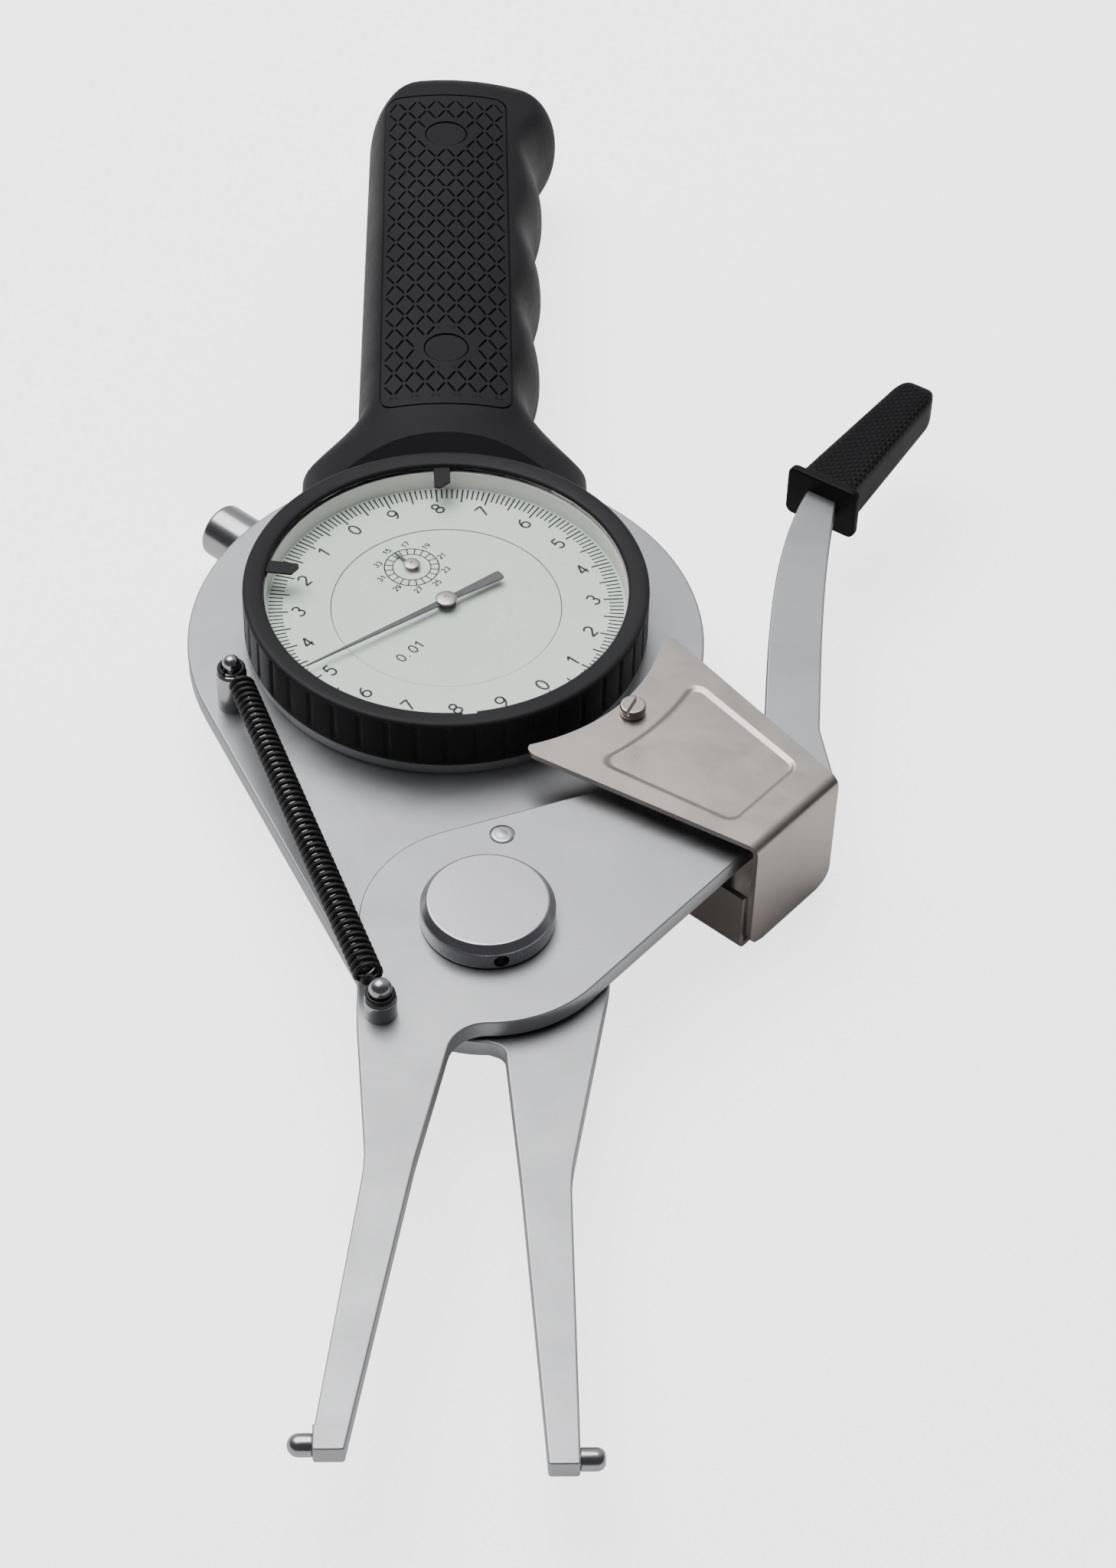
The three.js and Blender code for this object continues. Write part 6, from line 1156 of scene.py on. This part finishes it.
dress("cover_tray", spun(tray(), COVER_AXIS), sharp=50)
for place, v in (("front", -6.3), ("rear", 6.3)):
    c, s = math.cos(COVER_AXIS), math.sin(COVER_AXIS)
    at = (31 * c - v * s, 31 * s + v * c)
    pillar = lathed([(0, 1.52), (2.1, 1.52), (2.1, MAIN_BOTTOM), (0, MAIN_BOTTOM)], 0.2, 40)
    screw = lathed([(0, 0.2), (1.9, 0.2), (1.9, 0.65), (1, 0.65), (1, 1.4), (0, 1.4)], 0.15, 40)
    dress(f"tray_pillar_{place}", spun(pillar, 0, (*at, 0)))
    dress(f"tray_screw_{place}", spun(screw, 0, (*at, 0)),
          cutters=[slot_cutter(1.9, (-1, 0.45), RAD(30) + v, at)])


# Handle

def handle_sides(y):
    """Reach to the left and right of the centre line, with shoulders, finger waves and round end."""
    share = np.clip((41.2 - y) / 7.8, 0, 1)
    flare = ((share + smooth(0, 1, share)) / 2) ** 1.2
    along = (y - 33.4) / (HANDLE_FAR - 33.4)
    wave = 0.65 * np.cos(2 * PI * (y - 95.4) / 20.2)
    hook = 2.5 * np.exp(-((y - 119) / 7.5) ** 2)
    right = 12.75 + 2.5 * along + wave * (1 - flare) + hook
    left = 13.15 - 0.95 * along

    def shrink(size, power=2.3):
        end = np.clip((y - HANDLE_FAR + size) / size, 0, 1)
        return size * (1 - (1 - end ** power) ** (1 / power))

    left += (20.85 - left) * flare - shrink(12.0)
    return left, right + (20.4 - right) * flare - shrink(8.5), flare


def crown(x):
    """How far the handle's front falls towards its sides: a circle of 40 mm, x^2 / 80."""
    return x ** 2 / 80


def handle_half(height, side, plain_edge, power, near_radius, crowned, stations=150):
    """Sections with corners e (1 - cos^(2/p) a), h sin^(2/p) a, after a bevel at the head."""
    a = np.linspace(0, PI / 2, 16)
    inset, rise = 1 - np.cos(a) ** (2 / power), np.sin(a) ** (2 / power)
    middle = np.linspace(0, 1, 22)[1:-1]
    part = np.concatenate([np.zeros(16), middle, np.ones(16)])
    inset = np.concatenate([inset, np.ones(20), inset[::-1]])
    rise = np.concatenate([rise, np.ones(20), rise[::-1]])

    def across(y):
        left, right, flare = handle_sides(y)
        edge = np.minimum(plain_edge + (18 - plain_edge) * flare, 0.49 * (left + right))
        start, stop = right - edge * inset, -left + edge * inset
        return start + (stop - start) * part

    near = np.full(len(part), 28.0)
    for _ in range(8):
        near = np.sqrt(np.maximum(near_radius ** 2 - across(near) ** 2, 1))
    share = np.linspace(0, 1, stations)[:, None]
    y = near + (HANDLE_FAR - 0.02 - near) * (1 - (1 - share) ** 1.6)
    drop = np.zeros((stations, 1))
    if crowned:
        seat = near - (near_radius - 28.5) * np.sqrt(1 - (across(near) / near_radius) ** 2)
        y, drop = np.vstack([seat, y]), np.vstack([[[2.4]], drop])
    x = across(y)
    end = np.clip((y - HANDLE_FAR + 5) / 5, 0, 1)
    top = height - drop - 5 * (1 - np.sqrt(1 - (0.99 * end) ** 2)) - (crown(x) if crowned else 0)
    skin = np.stack([x, y, HANDLE_SPLIT + side * top * rise], -1)
    floor = np.stack([x, y, np.full_like(x, HANDLE_SPLIT)], -1)
    rows, columns = x.shape
    points = np.concatenate([skin.reshape(-1, 3), floor.reshape(-1, 3)])
    cells, count = grid_faces(rows, columns), rows * columns
    index = np.arange(count).reshape(rows, columns)
    walls = [np.column_stack([row[:-1], row[1:], row[1:] + count, row[:-1] + count])
             for row in (index[0], index[-1][::-1])]
    return points, [cells, cells[:, ::-1] + count, *walls]


def panel_groove(width=0.3, depth=0.5):
    """A ring along the panel's outline whose floor lies depth below the crowned front."""
    outline = rounded([(-PANEL_HALF, PANEL_NEAR, PANEL_ROUND), (PANEL_HALF, PANEL_NEAR, PANEL_ROUND),
                       (PANEL_HALF, PANEL_FAR, PANEL_ROUND), (-PANEL_HALF, PANEL_FAR, PANEL_ROUND)])
    count = 240
    steps = np.linalg.norm(np.roll(outline, -1, 0) - outline, axis=1)
    way = np.concatenate([[0], np.cumsum(steps)])
    spots = np.linspace(0, way[-1], count, endpoint=False)
    closed = np.vstack([outline, outline[:1]])
    loop = oriented(np.column_stack([np.interp(spots, way, closed[:, k]) for k in (0, 1)]), 1)
    inner = loop + inwards(loop) * width
    rows = []
    for flat, up in ((loop, True), (inner, True), (inner, False), (loop, False)):
        level = np.full(len(flat), HANDLE_TOP + 1) if up else HANDLE_TOP - crown(flat[:, 0]) - depth
        rows.append(np.column_stack([flat, level]))
    return np.concatenate(rows), [grid_faces(4, count, around=True, closed=True)]


def lattice_cuts():
    """V-shaped dashes between the crossings (i a / 2, j b / 2), i + j odd, of two sets of lines."""
    step = DIAMOND / 2
    i, j, way = np.meshgrid(np.arange(-7, 8), np.arange(-40, 6), (-1, 1), indexing="ij")
    keep = (i + j) % 2 == 1
    start = np.column_stack([i[keep], j[keep]]) * step + (0, DIAMOND_START)
    along = np.column_stack([np.ones(keep.sum()), way[keep]]) * step
    middle = start + along / 2
    x, y = middle.T
    inside = (np.abs(x) < 8.6) & (y > PANEL_NEAR + 1.9) & (y < PANEL_FAR - 1.9)
    for plug in PLUG_PLACES.values():
        inside &= np.hypot(x, y - plug) > 4.4
    start, along = start[inside], along[inside]
    side = np.column_stack([-along[:, 1], along[:, 0]]) / np.linalg.norm(step)
    spots = [(0.09, 0, 0.3), (0.2, -0.27, 0.3), (0.8, -0.27, 0.3), (0.91, 0, 0.3), (0.8, 0.27, 0.3),
             (0.2, 0.27, 0.3), (0.15, 0, -0.4), (0.85, 0, -0.4)]
    rows = []
    for share, off, lift in spots:
        flat = start + along * share + side * off
        rows.append(np.column_stack([flat, HANDLE_TOP - crown(flat[:, 0]) + lift]))
    first = (np.arange(len(start)) * 8)[:, None]
    faces = ([[0, 1, 2, 3, 4, 5]], [[2, 1, 6, 7], [5, 4, 7, 6]],
             [[1, 0, 6], [0, 5, 6], [3, 2, 7], [4, 3, 7]])
    return (np.stack(rows, 1).reshape(-1, 3),
            [np.concatenate([first + row for row in kind]) for kind in faces])


plug_pockets = [spun(turned([(0, 21.4), (3.32, 21.4), (3.32, 26), (0, 26)], 64), 0, (0, y, 0))
                for y in PLUG_PLACES.values()]
front_shell = handle_half(HANDLE_TOP - HANDLE_SPLIT, 1, 4.0, 2.3, 31.2, True)
dress("handle_front_shell", front_shell, HANDLE_FINISH, cutters=[panel_groove(), *plug_pockets,
                                                          lattice_cuts()])
cap_room = laid(turned([(0, 25.4), (4.5, 25.4), (4.5, 44.7), (0, 44.7)], 64), INDICATOR_AXIS,
                (0, 0, SPINDLE_Z))
dress("handle_back_shell", handle_half(HANDLE_SPLIT, -1, 9.5, 2.0, 29.0, False), cutters=[cap_room])
for place, y in PLUG_PLACES.items():
    dress(f"handle_plug_{place}", spun(lathed([(0, 21.5), (3.2, 21.5), (3.2, 23.5), (0, 23.5)], 0.3), 0,
                                       (0, y, 0)))

# Floor, camera and light
FLOOR_HALF, FLOOR_LEVEL = 900.0, -0.05
corners = [(x * FLOOR_HALF, y * FLOOR_HALF, FLOOR_LEVEL) for x, y in SQUARE]
floor = bare_object("floor", (np.array(corners), [np.array([[0, 1, 2, 3]])]))
pale = surface("pale_floor", (0.88, 0.88, 0.88), (0.92, 0.92, 0.92), (0.6, 0.8), metallic=0.0,
               cloud=6.0, bump=0.0, gloss=0.1)
shader = pale.node_tree.nodes["Principled BSDF"]
seen = node(pale.node_tree, "ShaderNodeLightPath").outputs["Is Camera Ray"]
glow = calc(pale.node_tree, "MULTIPLY_ADD", seen, 2.2, 0.06)
feed(pale.node_tree, shader, (("Emission Color", (1.0, 1.0, 1.0, 1.0)), ("Emission Strength", glow)))
floor.data.materials.append(pale)

# The camera looks down by lean, turned round Z by swing and rolled by tilt
lean, swing, tilt = RAD(45.595), RAD(-2.67), RAD(1.873)
back = np.array([math.sin(swing) * math.cos(lean), -math.cos(swing) * math.cos(lean), math.sin(lean)])
right = np.cross((0, 0, 1), back)
right /= np.linalg.norm(right)
up = np.cross(back, right)
right, up = (math.cos(tilt) * right + math.sin(tilt) * up,
             -math.sin(tilt) * right + math.cos(tilt) * up)
eye = np.array([-0.015, -346.168, 337.484]) * MM
camera = bpy.data.objects.new("camera", bpy.data.cameras.new("camera"))
camera.data.lens, camera.data.sensor_width, camera.data.sensor_fit = 78.59, 36.0, "AUTO"
camera.data.clip_start, camera.data.clip_end = 0.01, 20.0
camera.matrix_world = Matrix([[right[k], up[k], back[k], eye[k]] for k in range(3)] + [[0, 0, 0, 1]])
bpy.context.scene.collection.objects.link(camera)
bpy.context.scene.camera = camera


def lamp(name, at, size, watts):
    """A square soft lamp that faces the tool."""
    light = bpy.data.lights.new(name, "AREA")
    light.size, light.energy = size, watts
    made = bpy.data.objects.new(name, light)
    aim = (Vector((0.0, -0.02, 0.01)) - Vector(at)).to_track_quat("-Z", "Y")
    made.matrix_world = Matrix.Translation(at) @ aim.to_matrix().to_4x4()
    bpy.context.scene.collection.objects.link(made)


def studio():
    """A pale tent, bright overhead and behind, dim to the front, plain white behind the tool."""
    world = bpy.data.worlds.new("studio")
    bpy.context.scene.world = world
    world.use_nodes = True
    tree = world.node_tree
    way = node(tree, "ShaderNodeTexCoord").outputs["Generated"]
    facing = node(tree, "ShaderNodeVectorMath", {0: way, 1: (0.0, 0.82, 0.55)}, operation="DOT_PRODUCT")
    share = ramp(tree, facing.outputs["Value"], 0.1, 0.95, interpolation_type="SMOOTHSTEP")
    tone = blend_colours(tree, share, (0.15, 0.15, 0.16, 1.0), (0.97, 0.98, 1.0, 1.0))
    seen = node(tree, "ShaderNodeLightPath").outputs["Is Camera Ray"]
    tone = blend_colours(tree, seen, tone, (3.5, 3.5, 3.5, 1.0))
    tree.links.new(tone, tree.nodes["Background"].inputs["Color"])
    tree.nodes["Background"].inputs["Strength"].default_value = 0.64


studio()
lamp("overhead", (-0.25, 0.3, 1.0), 0.9, 13.0)
